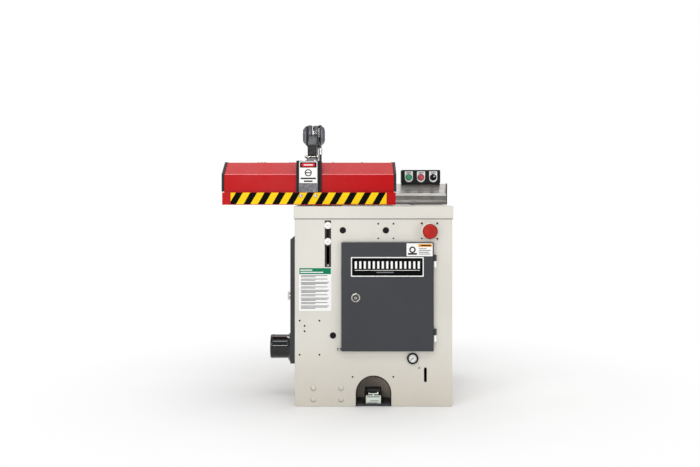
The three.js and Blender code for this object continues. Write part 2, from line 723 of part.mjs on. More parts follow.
const sawArm = body();
const spindle = body(sawArm);
const rotor = body(sawArm);
part(
  "pivot_shaft", rod("x", pivotRadius, left + 6, right - 6, pivot), machinedSteel, frame,
);
part("pivot_bearing_left", flangeBearing(-1), castIron, frame);
part("pivot_bearing_right", flangeBearing(1), castIron, frame);
part("saw_frame", sawFrame(), castIron, sawArm);
part("motor_body", motorBody(), motorGrey, sawArm);
part("drive_belt", driveBelt(), blackRubber, sawArm);
part("arbor_shaft", arborShaft(), machinedSteel, spindle);
part("saw_blade", sawBlade(), brushedSteel, spindle);
part("blade_flange", bladeFlange(), machinedSteel, spindle);
part("arbor_nut", arborNut(), machinedSteel, spindle);
part("arbor_pulley", beltPulley(pulley.arborRadius, arbor, 14 + GAP), castIron, spindle);
part(
  "motor_shaft", rod("x", 14, -116, motor.to - 50, motorAxis, 20), machinedSteel, rotor,
);
part("motor_pulley", beltPulley(pulley.motorRadius, motorAxis, 14 + GAP), castIron, rotor);

// ---------------------------------------------------------------------------------------------------
// Lift cylinder: pushes the frame up about its pivot
// ---------------------------------------------------------------------------------------------------

const lift = { x: -177.5, y: liftPin[0] - 1.45, bottom: 400, top: 560, half: 46, rod: 12.5 };

function cylinderStand() {
  const { x, y, bottom } = lift;
  const outside = box([x - 40, x + 40], [y - 40, y + 40], [floorTop, bottom - GAP]);
  const inside = box([x - 34, x + 41], [y - 34, y + 34], [floorTop + 8, bottom - 8]);
  return cut(outside, inside);
}

function liftCylinder() {
  const { x, y, bottom, top, half } = lift;
  const barrel = rod("z", half - 4, bottom, top, [x, y, 0], 24);
  const caps = [[bottom, bottom + 28], [top - 28, top]].map((z) => box([x - half, x + half], [y - half, y + half], z));
  return cut(join(barrel, ...caps), rod("z", lift.rod + RUNNING, bottom + 30, top + 1, [x, y, 0], 20));
}

// The eye's hole is wider than the frame's pin by the sideways travel of the pin on its arc.
function liftRod() {
  const { x, y, bottom } = lift;
  const shaft = rod("z", lift.rod, bottom + 34, liftPin[1] - 14, [x, y, 0], 20);
  const eye = rod("x", 20, x - 12.5, x + 12.5, [0, y, liftPin[1]], 20);
  return cut(join(shaft, eye), rod("x", 11.8, x - 14, x + 14, [0, y, liftPin[1]], 20));
}

part("cylinder_stand", cylinderStand(), charcoal, frame);
part("lift_cylinder", liftCylinder(), aluminium, frame);
part("lift_rod", liftRod(), chrome, body());

// ---------------------------------------------------------------------------------------------------
// Hold-down: column, overarm and guard, moved by the clamp cylinder
// ---------------------------------------------------------------------------------------------------

const holdDown = body();

function columnGuide() {
  const { x, y, radius } = column;
  const sleeve = rod("z", 38, 590, cabinetTop, [x, y, 0]);
  const flange = box([left + 5, x + 52], [y - 48, y + 55], [cabinetTop - 12, cabinetTop]);
  return cut(
    join(sleeve, flange),
    rod("z", radius + RUNNING, 580, 850, [x, y, 0]),
    rod("z", guideRod.radius + RUNNING, 820, 850, [guideRod.x, guideRod.y, 0], 16),
  );
}

function clampCylinder() {
  const { x, y } = column;
  const block = extrude(roundedRectangle(x - 38, x + 38, y - 38, y + 38, 8, 2), "z", 300, 540);
  const mount = box([x - 30, x + 30], [y + 37, back - cabinet.sheet - GAP], [320, 500]);
  return cut(join(block, mount), rod("z", 10 + RUNNING, 395, 541, [x, y, 0], 20));
}

// The head clamps the column; a rising arm reaches forward from it to a pad above the guard.
function overarm() {
  const { x } = column;
  const half = 54;
  const top = 1241;
  const bottom = 1126;
  const headOutline = outline([
    [x - 22, bottom], [x + 22, bottom], [x + half, bottom + 36], [x + half, top - 18],
    [x + half - 14, top], [x - half + 26, top], [x - half, top - 16], [x - half, bottom + 36],
  ]);
  const head = extrude(headOutline, "y", 215, 345);
  const side = outline([
    [50, 1078], [90, 1078], [216, 1128], [216, 1196], [150, 1176], [62, 1140], [50, 1132],
  ]);
  const neck = extrude(side, "x", x - 20, x + 20);
  const pad = box([x - 33, x + 33], [40, 106], [1070, 1078.5]);
  const spacer = box([x - 25, x + 25], [48, 98], [1044.8 + GAP, 1071]);
  return cut(
    join(head, neck, pad, spacer),
    rod("z", column.radius + GAP, 1100, column.top + GAP, [x, column.y, 0]),
    rod("z", guideRod.radius + GAP, 1100, 1230, [guideRod.x, guideRod.y, 0], 16),
    box([x - 2, x + 2], [200, 275], [1190, 1250]),
  );
}

// A channel that runs down the guard's face and back over its top, to the overarm's pad.
function saddleBracket() {
  const x0 = blade.x - strap.width / 2;
  const x1 = blade.x + strap.width / 2;
  const face = guard.face - 4 - strap.sheet;
  const underside = guardSide[1][1] + 0.8;
  const top = underside + strap.sheet;
  const frontLeg = box([x0, x1], [face, face + strap.sheet], [guard.bottom, top]);
  const topLeg = box([x0, x1], [face, 110], [underside, top]);
  const lips = [x0, x1 - 3].map((x) => box([x, x + 3], [face, guard.face - GAP], [guard.bottom, top]));
  const ribs = [x0, x1 - 3].map((x) => box([x, x + 3], [-200, 30], [underside, top + 6]));
  return join(frontLeg, topLeg, ...lips, ...ribs);
}

// The guard's section, set in from its outer faces by inset.
function guardSection(inset, bottom, rearBottom) {
  const [[y0, z0], [y1, z1], [y2]] = guardSide;
  const slope = Math.hypot(y1 - y0, z1 - z0);
  const slide = (inset * (slope - (z1 - z0))) / (y1 - y0);
  const slideTop = (inset * (slope - (y1 - y0))) / (z1 - z0);
  return [
    [y0 + inset, bottom], [y0 + inset, z0 - slide], [y1 + slideTop, z1 - inset],
    [y2 - inset, z1 - inset], [y2 - inset, rearBottom],
  ];
}

function guardShell() {
  const outer = guardSection(0, guard.bottom, 965);
  const inner = guardSection(guard.sheet, guard.bottom, 965);
  return extrude(outline([...outer, ...inner.reverse()]), "x", guard.from + guard.cap, guard.to - guard.cap);
}

// Each end is closed by a thick black cap that stands 2 mm proud of the sheet.
function guardCap(from, to) {
  const [[y0, z0], [y1, z1], [y2]] = guardSide;
  return extrude(
    outline([[y0 - 2, 912], [y2 + 2, 912], [y2 + 2, z1 + 2], [y1 - 1, z1 + 2], [y0 - 2, z0 + 1]]), "x", from, to,
  );
}

function guardApron() {
  const face = guard.face - 4 - strap.sheet - GAP;
  return box([apron.from, apron.to], [face - apron.sheet, face], [apron.bottom, apron.top]);
}

// The hose runs forward over the guard and down beside the bracket.
function airHose() {
  const x = blade.x + strap.width / 2 + 4.6;
  const y = guard.face - 4.3;
  const path = new THREE.CatmullRomCurve3(
    [
      [-252, 130, 1150], [-244, 40, 1132], [-232, -140, 1100], [-227, -270, 1086],
      [x, y + 4, 1068], [x, y, 1040], [x, y, 980], [x, y, 915],
    ].map((p) => new THREE.Vector3(...p)),
  );
  return new THREE.ExtrudeGeometry(circle(0, 0, 3.8, 8), { steps: 28, extrudePath: path });
}

part("column_guide", columnGuide(), castIron, frame);
part("clamp_cylinder", clampCylinder(), aluminium, frame);
part(
  "column", rod("z", column.radius, column.bottom, column.top, [column.x, column.y, 0]), chrome, holdDown,
);
part(
  "clamp_rod", rod("z", 10, 400, column.bottom - GAP, [column.x, column.y, 0], 20), chrome, holdDown,
);
part(
  "guide_rod", rod("z", guideRod.radius, 690, 1229, [guideRod.x, guideRod.y, 0], 16), machinedSteel, holdDown,
);
part("overarm", overarm(), castIron, holdDown);
part("saddle_bracket", saddleBracket(), castIron, holdDown);
part("guard_shell", guardShell(), red, holdDown);
part("guard_cap_left", guardCap(guard.from, guard.from + guard.cap - GAP), blackRubber, holdDown);
part("guard_cap_right", guardCap(guard.to - guard.cap + GAP, guard.to), blackRubber, holdDown);
part("guard_apron", guardApron(), red, holdDown);
part("air_hose", toGeometry(toSolid(airHose())), blackRubber, holdDown);

export default saw;
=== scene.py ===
import json
from math import cos, dist, pi, radians, sin, sqrt

import bmesh
import bpy
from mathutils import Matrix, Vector


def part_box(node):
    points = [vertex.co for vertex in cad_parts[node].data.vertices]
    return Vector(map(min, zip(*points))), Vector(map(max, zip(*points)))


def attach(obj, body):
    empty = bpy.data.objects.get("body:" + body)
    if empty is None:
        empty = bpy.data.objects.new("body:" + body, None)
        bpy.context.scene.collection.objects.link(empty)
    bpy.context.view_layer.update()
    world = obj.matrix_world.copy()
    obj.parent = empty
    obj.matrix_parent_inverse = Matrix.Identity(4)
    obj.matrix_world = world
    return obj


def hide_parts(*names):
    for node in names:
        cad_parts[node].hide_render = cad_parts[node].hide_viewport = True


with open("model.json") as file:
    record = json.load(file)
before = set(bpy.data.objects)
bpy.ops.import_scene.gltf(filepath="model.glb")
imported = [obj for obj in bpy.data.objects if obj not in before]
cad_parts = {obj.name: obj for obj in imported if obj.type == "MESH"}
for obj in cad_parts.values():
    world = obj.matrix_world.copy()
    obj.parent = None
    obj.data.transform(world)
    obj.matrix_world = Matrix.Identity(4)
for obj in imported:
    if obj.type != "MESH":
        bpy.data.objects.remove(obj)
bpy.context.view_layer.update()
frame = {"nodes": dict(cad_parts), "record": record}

# Looks of a pneumatic up-cut saw, built round its CAD frame. Lengths are in millimetres until they
# reach a mesh. X runs along the fence to the right, Y to the back and Z up.

MM = 0.001
SHARP = radians(35)
BODY_OF = {node: body for body, nodes in frame["record"]["behaviour"]["bodies"].items() for node in nodes}


# ---- Colours and shaders ----


def srgb(red, green, blue):
    """Linear colour from 8-bit display values."""
    return tuple(((c / 255 + 0.055) / 1.055) ** 2.4 if c > 10 else c / 3295 for c in (red, green, blue))


def shade(colour, factor):
    return tuple(min(1.0, c * factor) for c in colour)


class Nodes:
    """Adds and joins the shader nodes of one tree."""

    def __init__(self, tree):
        self.nodes = tree.nodes
        self.links = tree.links

    def wire(self, node, socket, value):
        target = node.inputs[socket]
        if isinstance(value, bpy.types.NodeSocket):
            self.links.new(value, target)
        elif target.type == "RGBA":
            target.default_value = (*value, 1.0)
        else:
            target.default_value = value

    def add(self, kind, inputs=None, **settings):
        node = self.nodes.new("ShaderNode" + kind)
        for key, value in settings.items():
            setattr(node, key, value)
        for key, value in (inputs or {}).items():
            self.wire(node, key, value)
        return node


class Shader(Nodes):
    """A Principled material whose inputs come from procedural nodes."""

    def __init__(self, name, metallic=0.0, coat=0.0, specular=0.5):
        self.material = bpy.data.materials.new(name)
        self.material.use_nodes = True
        super().__init__(self.material.node_tree)
        self.surface = self.nodes["Principled BSDF"]
        self.put("Metallic", metallic)
        self.put("Coat Weight", coat)
        self.put("Specular IOR Level", specular)
        self.place = self.add("TexCoord").outputs["Object"]
        self.normal = None

    def put(self, socket, value):
        self.wire(self.surface, socket, value)

    def noise(self, scale, detail=2.0, stretch=None):
        vector = self.place
        if stretch:
            vector = self.add("Mapping", {"Vector": self.place, "Scale": stretch}).outputs[0]
        return self.add("TexNoise", {"Vector": vector, "Scale": scale, "Detail": detail}).outputs[0]

    def spread(self, value, low, high, to_low=0.0, to_high=1.0):
        inputs = {"Value": value, "From Min": low, "From Max": high, "To Min": to_low, "To Max": to_high}
        return self.add("MapRange", inputs).outputs[0]

    def clouds(self, scale, detail, *limits):
        """Soft noise, spread between limits."""
        return self.spread(self.noise(scale, detail), *limits)

    def times(self, a, b):
        return self.add("Math", {0: a, 1: b}, operation="MULTIPLY").outputs[0]

    def mix(self, factor, a, b):
        return self.add("Mix", {0: factor, 6: a, 7: b}, data_type="RGBA").outputs[2]

    def height(self):
        """World height of the point, for dust that gathers low down."""
        position = self.add("NewGeometry").outputs["Position"]
        return self.add("SeparateXYZ", {0: position}).outputs[2]

    def rim(self, radius):
        """1 on an edge and 0 on the faces beside it."""
        rounded_normal = self.add("Bevel", {"Radius": radius}, samples=4).outputs[0]
        plain = self.add("NewGeometry").outputs["Normal"]
        dot = self.add("VectorMath", {0: rounded_normal, 1: plain}, operation="DOT_PRODUCT").outputs["Value"]
        return self.spread(dot, 0.99, 0.88)

    def bump(self, height, distance, strength=1.0):
        inputs = {"Height": height, "Distance": distance, "Strength": strength}
        if self.normal:
            inputs["Normal"] = self.normal
        self.normal = self.add("Bump", inputs).outputs[0]

    def done(self):
        if self.normal:
            self.put("Normal", self.normal)
        return self.material


RUBBED_DARK = srgb(226, 224, 218)
RUBBED_PALE = srgb(168, 164, 156)
DUST = srgb(186, 170, 146)


def painted(name, colour, roughness=0.4, mottle=0.05, wear=0.35, coat=0.15, peel=0.00008, dust=0.0,
            specular=0.5):
    """Powder coat: orange peel, faint clouds and flecks, rubbed edges, and dust near the floor."""
    s = Shader(name, coat=coat, specular=specular)
    cloud = s.clouds(3.0, 4.0, 0.35, 0.65)
    tone = s.mix(cloud, shade(colour, 1 - mottle), shade(colour, 1 + mottle / 2))
    flecks = s.clouds(650.0, 1.0, 0.66, 0.76, 0.0, 0.22)
    tone = s.mix(flecks, tone, shade(colour, 0.62))
    rubbed = s.times(s.rim(0.0014), s.clouds(38.0, 5.0, 0.46, 0.62, 0.0, wear))
    tone = s.mix(rubbed, tone, RUBBED_DARK if max(colour) < 0.5 else RUBBED_PALE)
    if dust:
        low = s.times(s.spread(s.height(), 0.0, 0.3, 1.0, 0.0), s.clouds(6.0, 5.0, 0.3, 0.7, 0.2, dust))
        tone = s.mix(low, tone, DUST)
    s.put("Base Color", tone)
    s.put("Roughness", s.clouds(12.0, 3.0, 0.3, 0.7, roughness - 0.06, roughness + 0.08))
    s.bump(s.noise(380.0, 2.0), peel)
    return s.done()


def hammertone(name, dark, light, size=230.0, depth=0.0005, blotch=0.4, coat=0.25):
    """Pebbled casting paint: light crowns and dark valleys."""
    s = Shader(name, coat=coat)
    pebbles = s.add("TexVoronoi", {"Vector": s.place, "Scale": size}, feature="SMOOTH_F1").outputs[0]
    patches = s.clouds(70.0, 4.0, 0.38, 0.62)
    tone = s.mix(s.spread(pebbles, 0.1, 0.7), light, dark)
    tone = s.mix(s.times(patches, blotch), tone, shade(dark, 0.7))
    rubbed = s.times(s.rim(0.002), s.clouds(30.0, 5.0, 0.42, 0.6, 0.1, 0.6))
    tone = s.mix(rubbed, tone, shade(light, 1.7))
    s.put("Base Color", tone)
    s.put("Roughness", s.spread(patches, 0.0, 1.0, 0.32, 0.5))
    s.bump(pebbles, depth, 0.8)
    s.bump(s.noise(900.0, 2.0), 0.00008)
    return s.done()


def brushed(name, colour, stretch=(4.0, 900.0, 900.0), roughness=0.3, axis="X", across=False, smear=0.0):
    """Metal with fine parallel lines, and highlights drawn out across them."""
    s = Shader(name, metallic=1.0)
    lines = s.noise(1.0, 5.0, stretch)
    streaks = s.noise(1.0, 3.0, tuple(0.16 * k for k in stretch))
    clouds = s.clouds(7.0, 4.0, 0.3, 0.7)
    tone = s.mix(s.spread(lines, 0.3, 0.7), shade(colour, 0.88), shade(colour, 1.08))
    tone = s.mix(s.spread(streaks, 0.4, 0.62, 0.0, 0.3), tone, shade(colour, 0.8))
    if smear:
        tone = s.mix(s.times(clouds, smear), tone, shade(colour, 0.5))
    s.put("Base Color", tone)
    s.put("Roughness", s.spread(streaks, 0.3, 0.7, roughness - 0.06, roughness + 0.12))
    s.put("Anisotropic", 0.75)
    s.put("Anisotropic Rotation", 0.25 if across else 0.0)
    s.put("Tangent", s.add("Tangent", direction_type="RADIAL", axis=axis).outputs[0])
    s.bump(lines, 0.00003)
    return s.done()


def polished(name, colour, roughness=0.08):
    """Plated steel with faint smears and a few fine scratches."""
    s = Shader(name, metallic=1.0)
    smears = s.noise(22.0, 5.0)
    scratches = s.noise(1.0, 2.0, (1500.0, 1500.0, 60.0))
    s.put("Base Color", s.mix(s.spread(smears, 0.4, 0.65, 0.0, 0.3), colour, shade(colour, 0.72)))
    s.put("Roughness", s.spread(smears, 0.35, 0.7, roughness, roughness + 0.14))
    s.bump(scratches, 0.00001)
    return s.done()


def moulded(name, colour, roughness=0.45, grain=0.00006, coat=0.0, fade=0.12, specular=0.5):
    """Moulded plastic or rubber with a fine spark texture."""
    s = Shader(name, coat=coat, specular=specular)
    tone = s.mix(s.clouds(16.0, 4.0, 0.35, 0.65), shade(colour, 1 - fade), shade(colour, 1 + fade))
    worn = s.times(s.rim(0.0008), s.clouds(90.0, 4.0, 0.45, 0.6, 0.05, 0.4))
    s.put("Base Color", s.mix(worn, tone, shade(colour, 2.2)))
    s.put("Roughness", s.clouds(40.0, 3.0, 0.3, 0.7, roughness - 0.06, roughness + 0.08))
    s.bump(s.noise(1500.0, 2.0), grain)
    return s.done()


def printed(name, colour, roughness=0.5, specular=0.18):
    """Ink on vinyl: even colour with a faint mottle and a soft ripple."""
    s = Shader(name, specular=specular)
    s.put("Base Color", s.mix(s.clouds(900.0, 2.0, 0.3, 0.7), shade(colour, 0.93), shade(colour, 1.04)))
    s.put("Roughness", s.clouds(30.0, 3.0, 0.3, 0.7, roughness, roughness + 0.15))
    s.bump(s.noise(60.0, 2.0), 0.00015)
    return s.done()


def lens_glass(name):
    """Clear cover with faint patches of dusty haze."""
    s = Shader(name, specular=0.6)
    haze = s.clouds(180.0, 4.0, 0.4, 0.8, 0.04, 0.16)
    s.put("Base Color", s.mix(haze, srgb(250, 250, 250), srgb(210, 208, 200)))
    s.put("Roughness", s.spread(haze, 0.04, 0.16, 0.03, 0.12))
    s.put("Alpha", haze)
    return s.done()


CREAM = painted("cream_paint", srgb(219, 216, 207), roughness=0.42, wear=0.75, dust=0.45)
CHARCOAL = painted("charcoal_paint", srgb(48, 50, 55), 0.5, mottle=0.07, coat=0.0, peel=0.00014)
DARK = painted("dark_paint", srgb(20, 21, 24), 0.5, mottle=0.07, wear=0.2, coat=0.0, specular=0.25)
GLOSSY = painted("glossy_charcoal", srgb(12, 14, 18), roughness=0.1, mottle=0.1, wear=0.2, coat=0.75,
                 peel=0.0001, specular=0.12)
RED = painted("red_paint", srgb(186, 5, 11), roughness=0.3, mottle=0.06, coat=0.0, specular=0.15)
# A pale red on the faces of the guard's front fold: a painted highlight along the bend.
FOLD_HIGHLIGHT_RED = painted("painted_fold_highlight", srgb(232, 118, 120), roughness=0.25, mottle=0.2)
# Flat near-white paint in place of bright metal: a painted highlight on the fence fold and in the clamp
# slits, and a painted reflection on the hinges and the slot bolts.
SHEEN_WHITE = painted("painted_sheen_white", srgb(252, 250, 247), roughness=0.3, mottle=0.02, wear=0.1)
MOTOR = painted("motor_paint", srgb(96, 106, 116))
TUNNEL = painted("tunnel_paint", srgb(186, 176, 164), roughness=0.5, wear=0.2)
SAGE = painted("sage_paint", srgb(224, 234, 221), roughness=0.45)
PEBBLE = hammertone("hammertone_grey", srgb(72, 72, 78), srgb(154, 152, 158))
CASTING = hammertone("casting_grey", srgb(74, 78, 84), srgb(104, 108, 115), 500.0, 0.00015, 0.15)
# A far darker copy of the casting paint for the overarm's neck: painted shade on part of the same casting.
SHADED_NECK = hammertone("neck_casting_painted_shade", srgb(14, 17, 21), srgb(26, 30, 36), 500.0, 0.00015, 0.15, coat=0.0)
IRON = hammertone("inner_casting", srgb(66, 70, 76), srgb(96, 100, 105), 300.0, 0.0004)
STEEL = brushed("brushed_steel", srgb(224, 220, 216), roughness=0.26, smear=0.3)
# A darker copy of the brushed steel: painted shade on the fence's lower band.
SHADED_STEEL = brushed("painted_shade_steel", srgb(128, 125, 121), roughness=0.3, smear=0.2)
TURNED = brushed("turned_steel", srgb(204, 204, 206), (900.0, 30.0, 30.0), 0.24, across=True)
ALUMINIUM = brushed("aluminium", srgb(214, 215, 217), (30.0, 30.0, 700.0), 0.34, axis="Z", across=True)
PLATED = polished("plated_lock", srgb(190, 188, 184), roughness=0.2)
CHROME = polished("chrome", srgb(226, 227, 229))
NICKEL = polished("nickel", srgb(206, 204, 198), roughness=0.2)
BLADE = polished("blade_steel", srgb(188, 189, 192), roughness=0.24)
BRASS = polished("brass", srgb(206, 170, 96), roughness=0.25)
RUBBER = moulded("black_rubber", srgb(30, 30, 31), roughness=0.72, grain=0.0001)
PLASTIC = moulded("black_plastic", srgb(46, 49, 50), roughness=0.5)
UMBER = moulded("umber_rail", srgb(50, 39, 37), roughness=0.5)
PLUG = moulded("plug_black", srgb(9, 9, 10), roughness=0.42, specular=0.2)
BOX_BLACK = moulded("box_black", srgb(15, 18, 19), roughness=0.5, specular=0.25)
RIM = moulded("ring_ivory", srgb(222, 218, 200), roughness=0.4)
PALM = moulded("palm_red", srgb(180, 24, 12), roughness=0.42, fade=0.16, specular=0.3)
# A dark red band round the palm button's rim: painted shade.
PALM_RIM_SHADE = moulded("palm_rim_painted_shade", srgb(96, 16, 14), specular=0.2)
# The green and red bezels take darker copies of the cap colours: painted shade round the lighter caps.
GREEN = moulded("start_green", srgb(36, 158, 108), roughness=0.3, coat=0.4)
GREEN_BEZEL_SHADE = moulded("start_bezel_painted_shade", srgb(8, 84, 54), roughness=0.4)
STOP = moulded("stop_red", srgb(200, 52, 76), roughness=0.3, coat=0.4)
STOP_BEZEL_SHADE = moulded("stop_bezel_painted_shade", srgb(112, 12, 34), roughness=0.4)
WHITE = printed("white_vinyl", srgb(244, 244, 242))
BLACK = printed("black_ink", srgb(6, 6, 7), specular=0.06)
INK = printed("grey_ink", srgb(118, 118, 122))
FINE = printed("fine_print_ink", srgb(84, 84, 88))
# Painted shadow: a grey-brown ring set low behind each foot bolt.
BOLT_SHADOW_INK = printed("painted_bolt_shadow", srgb(116, 109, 100))
HEADER = printed("green_ink", srgb(0, 126, 86))
AMBER = printed("amber_ink", srgb(232, 158, 52))
SIGNAL = printed("red_ink", srgb(204, 34, 46))
YELLOW = printed("yellow_tape", srgb(255, 206, 0), roughness=0.4)
GLASS = lens_glass("lens_glass")


# ---- Shapes ----

FRAMES = {
    "x": ((0, 1, 0), (0, 0, 1), (1, 0, 0)),
    "y": ((0, 0, 1), (1, 0, 0), (0, 1, 0)),
    "-y": ((1, 0, 0), (0, 0, 1), (0, -1, 0)),
    "-x": ((0, 0, 1), (0, 1, 0), (-1, 0, 0)),
    "z": ((1, 0, 0), (0, 1, 0), (0, 0, 1)),
}
LIFTS = {"x": lambda p, d: (d, *p), "y": lambda p, d: (p[0], d, p[1]), "z": lambda p, d: (*p, d)}


def full_turn(steps):
    return [2 * pi * i / steps for i in range(steps)]


def arc(a, b, radius, start, end, steps):
    """Points on an arc in degrees, both ends included."""
    turns = [radians(start + (end - start) * i / steps) for i in range(steps + 1)]
    return [(a + radius * cos(t), b + radius * sin(t)) for t in turns]


def rounded(a0, a1, b0, b1, r, steps=5):
    """A rectangle with round corners."""
    return [
        *arc(a1 - r, b0 + r, r, -90, 0, steps),
        *arc(a1 - r, b1 - r, r, 0, 90, steps),
        *arc(a0 + r, b1 - r, r, 90, 180, steps),
        *arc(a0 + r, b0 + r, r, 180, 270, steps),
    ]


def dome(radius, height, base=0.0, steps=6):
    """Profile of a domed head, from its rim to its crown."""
    turns = [pi / 2 * i / steps for i in range(steps)]
    return [(radius * cos(t), base + height * sin(t)) for t in turns] + [(0.0, base + height)]


def grids(shell, rings, closed):
    """Faces between successive rings of vertices. A ring of one vertex is a point on the axis."""
    pairs = list(zip(rings, rings[1:])) + ([(rings[-1], rings[0])] if closed else [])
    steps = max(len(ring) for ring in rings)
    for a, b in pairs:
        for i in range(steps):
            j = (i + 1) % steps
            quad = [a[i % len(a)], a[j % len(a)], b[j % len(b)], b[i % len(b)]]
            shell.faces.new(list(dict.fromkeys(quad)))
    for ring in () if closed else (rings[0], rings[-1]):
        if len(ring) > 1:
            shell.faces.new(ring)


def show(name, data):
    """A new object in the scene."""
    thing = bpy.data.objects.new(name, data)
    bpy.context.scene.collection.objects.link(thing)
    return thing


class Form:
    """Closed shells gathered into one mesh, in millimetres in the row frame."""

    def __init__(self, name):
        self.name = name
        self.mesh = bmesh.new()

    def keep(self, shell, ink=0, bevel=0.0, segments=2):
        """Bevels one shell's sharp edges and adds it, with its material index."""
        bmesh.ops.recalc_face_normals(shell, faces=shell.faces)
        if bevel:
            edges = [e for e in shell.edges if e.is_manifold and e.calc_face_angle(0) > SHARP]
            bmesh.ops.bevel(shell, geom=edges, offset=bevel, segments=segments, profile=0.5,
                            affect="EDGES", clamp_overlap=True)
        for face in shell.faces:
            face.material_index = ink
            face.smooth = True
        carrier = bpy.data.meshes.new("shell")
        shell.to_mesh(carrier)
        shell.free()
        self.mesh.from_mesh(carrier)
        bpy.data.meshes.remove(carrier)
        return self

    def prism(self, outline, axis, start, end, **style):
        """An outline pushed along an axis: (Y, Z) for x, (X, Z) for y and (X, Y) for z."""
        shell = bmesh.new()
        low, high = ([shell.verts.new(LIFTS[axis](p, d)) for p in outline] for d in (start, end))
        shell.faces.new(low)
        shell.faces.new(high)
        for i in range(len(outline)):
            j = (i + 1) % len(outline)
            shell.faces.new((low[i], low[j], high[j], high[i]))
        return self.keep(shell, **style)

    def box(self, xs, ys, zs, **style):
        outline = [(xs[0], zs[0]), (xs[1], zs[0]), (xs[1], zs[1]), (xs[0], zs[1])]
        return self.prism(outline, "y", *ys, **style)

    def lathe(self, profile, centre, axis="-y", steps=48, closed=False, **style):
        """A profile of (radius, distance) turned about an axis through centre."""
        u, v, w = (Vector(d) for d in FRAMES[axis])
        shell = bmesh.new()
        rings = []
        for radius, along in profile:
            hub = Vector(centre) + along * w
            spokes = [hub + radius * (cos(t) * u + sin(t) * v) for t in full_turn(steps)]
            rings.append([shell.verts.new(p) for p in (spokes if radius > 1e-6 else [hub])])
        grids(shell, rings, closed)
        return self.keep(shell, **style)

    def disc(self, radius, centre, axis, start, end, **style):
        return self.lathe([(0, start), (radius, start), (radius, end), (0, end)], centre, axis, **style)

    def ring(self, inner, outer, centre, axis, start, end, **style):
        profile = [(inner, start), (outer, start), (outer, end), (inner, end)]
        return self.lathe(profile, centre, axis, closed=True, **style)

    def tube(self, path, radius, steps=14, **style):
        """A round hose or cable through the path's points, smoothed between them."""
        points = smooth_path([Vector(p) for p in path])
        shell = bmesh.new()
        rings = []
        side = Vector((1, 0.01, 0.02))
        for i, point in enumerate(points):
            ahead = (points[min(i + 1, len(points) - 1)] - points[max(i - 1, 0)]).normalized()
            side = (side - side.dot(ahead) * ahead).normalized()
            other = ahead.cross(side)
            spokes = [point + radius * (cos(t) * side + sin(t) * other) for t in full_turn(steps)]
            rings.append([shell.verts.new(p) for p in spokes])
        grids(shell, rings, False)
        return self.keep(shell, **style)

    def loose(self):
        """The form's bare object in millimetres, for combining."""
        mesh = bpy.data.meshes.new(self.name)
        self.mesh.to_mesh(mesh)
        self.mesh.free()
        return show(self.name, mesh)

    def place(self, *materials, body="cabinet", slot=None, node=None):
        """Turns the shells into a piece that rides on a body, or stands for a CAD node on the node's body."""
        bmesh.ops.scale(self.mesh, vec=(MM,) * 3, verts=self.mesh.verts)
        piece = self.loose()
        even = piece.modifiers.new("even", "WEIGHTED_NORMAL")
        even.mode = "FACE_AREA"
        even.weight = 100
        for material in materials:
            piece.data.materials.append(material)
        settle(piece)
        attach(piece, BODY_OF[node] if node else body)
        if node:
            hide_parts(node)


def smooth_path(points, steps=8):
    """Catmull-Rom points through the given ones."""
    ends = [2 * points[0] - points[1], *points, 2 * points[-1] - points[-2]]
    found = []
    for a, b, c, d in zip(ends, ends[1:], ends[2:], ends[3:]):
        for i in range(steps):
            t = i / steps
            found.append(0.5 * (2 * b + (c - a) * t + (2 * a - 5 * b + 4 * c - d) * t ** 2
                                + (3 * b - a - 3 * c + d) * t ** 3))
    return [*found, points[-1]]


def settle(piece):
    """Applies a piece's modifiers to its mesh."""
    graph = bpy.context.evaluated_depsgraph_get()
    solved = piece.evaluated_get(graph)
    mesh = bpy.data.meshes.new_from_object(solved, preserve_all_data_layers=True, depsgraph=graph)
    stale = piece.data
    piece.modifiers.clear()
    piece.data = mesh
    bpy.data.meshes.remove(stale)


def combine(piece, operation, form):
    """Joins, cuts or intersects a piece with a form, which is used up."""
    tool = form.loose()
    step = piece.modifiers.new("step", "BOOLEAN")
    step.operation = operation
    step.solver = "EXACT"
    step.object = tool
    settle(piece)
    bpy.data.objects.remove(tool)


def weld(shell):
    """Merges doubled vertices and clears the edges inside flat faces."""
    bmesh.ops.remove_doubles(shell, verts=shell.verts, dist=0.01)
    bmesh.ops.dissolve_limit(shell, angle_limit=radians(1), verts=shell.verts, edges=shell.edges)


def adopt(form, piece, **style):
    """Moves a combined object's mesh into a form."""
    shell = bmesh.new()
    shell.from_mesh(piece.data)
    weld(shell)
    bpy.data.objects.remove(piece)
    form.keep(shell, **style)


def refine(node, material, bevel=0.8, segments=2, bends=(), bend=4.0, zones=()):
    """The CAD node's own shape with its edges rounded, standing in for the node.

    The edges along X through the (Y, Z) points of bends are rounded more, as folded sheet is. Each
    zone is a height and the material of the faces that lie below it.
    """
    shell = bmesh.new()
    shell.from_mesh(frame["nodes"][node].data)
    bmesh.ops.scale(shell, vec=(1 / MM,) * 3, verts=shell.verts)
    weld(shell)
    folds = [e for e in shell.edges
             if all(any(dist(v.co.yz, b) < 1.2 for b in bends) for v in e.verts) and e.calc_length() > 20]
    if folds:
        bmesh.ops.bevel(shell, geom=folds, offset=bend, segments=5, profile=0.5, affect="EDGES")
    form = Form(node + "_finished")
    form.keep(shell, bevel=bevel, segments=segments)
    for ink, (height, _) in enumerate(zones, 1):
        for face in form.mesh.faces:
            if face.calc_center_median().z < height:
                face.material_index = ink
    form.place(material, *(paint for _, paint in zones), node=node)


def dress(node, material):
    """Gives a CAD node that stays its procedural material."""
    data = frame["nodes"][node].data
    data.materials.clear()
    data.materials.append(material)


def at(node):
    """A CAD node's lowest and highest corners in millimetres."""
    low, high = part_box(node)
    return low / MM, high / MM


def middle(node):
    low, high = at(node)
    return (low + high) / 2


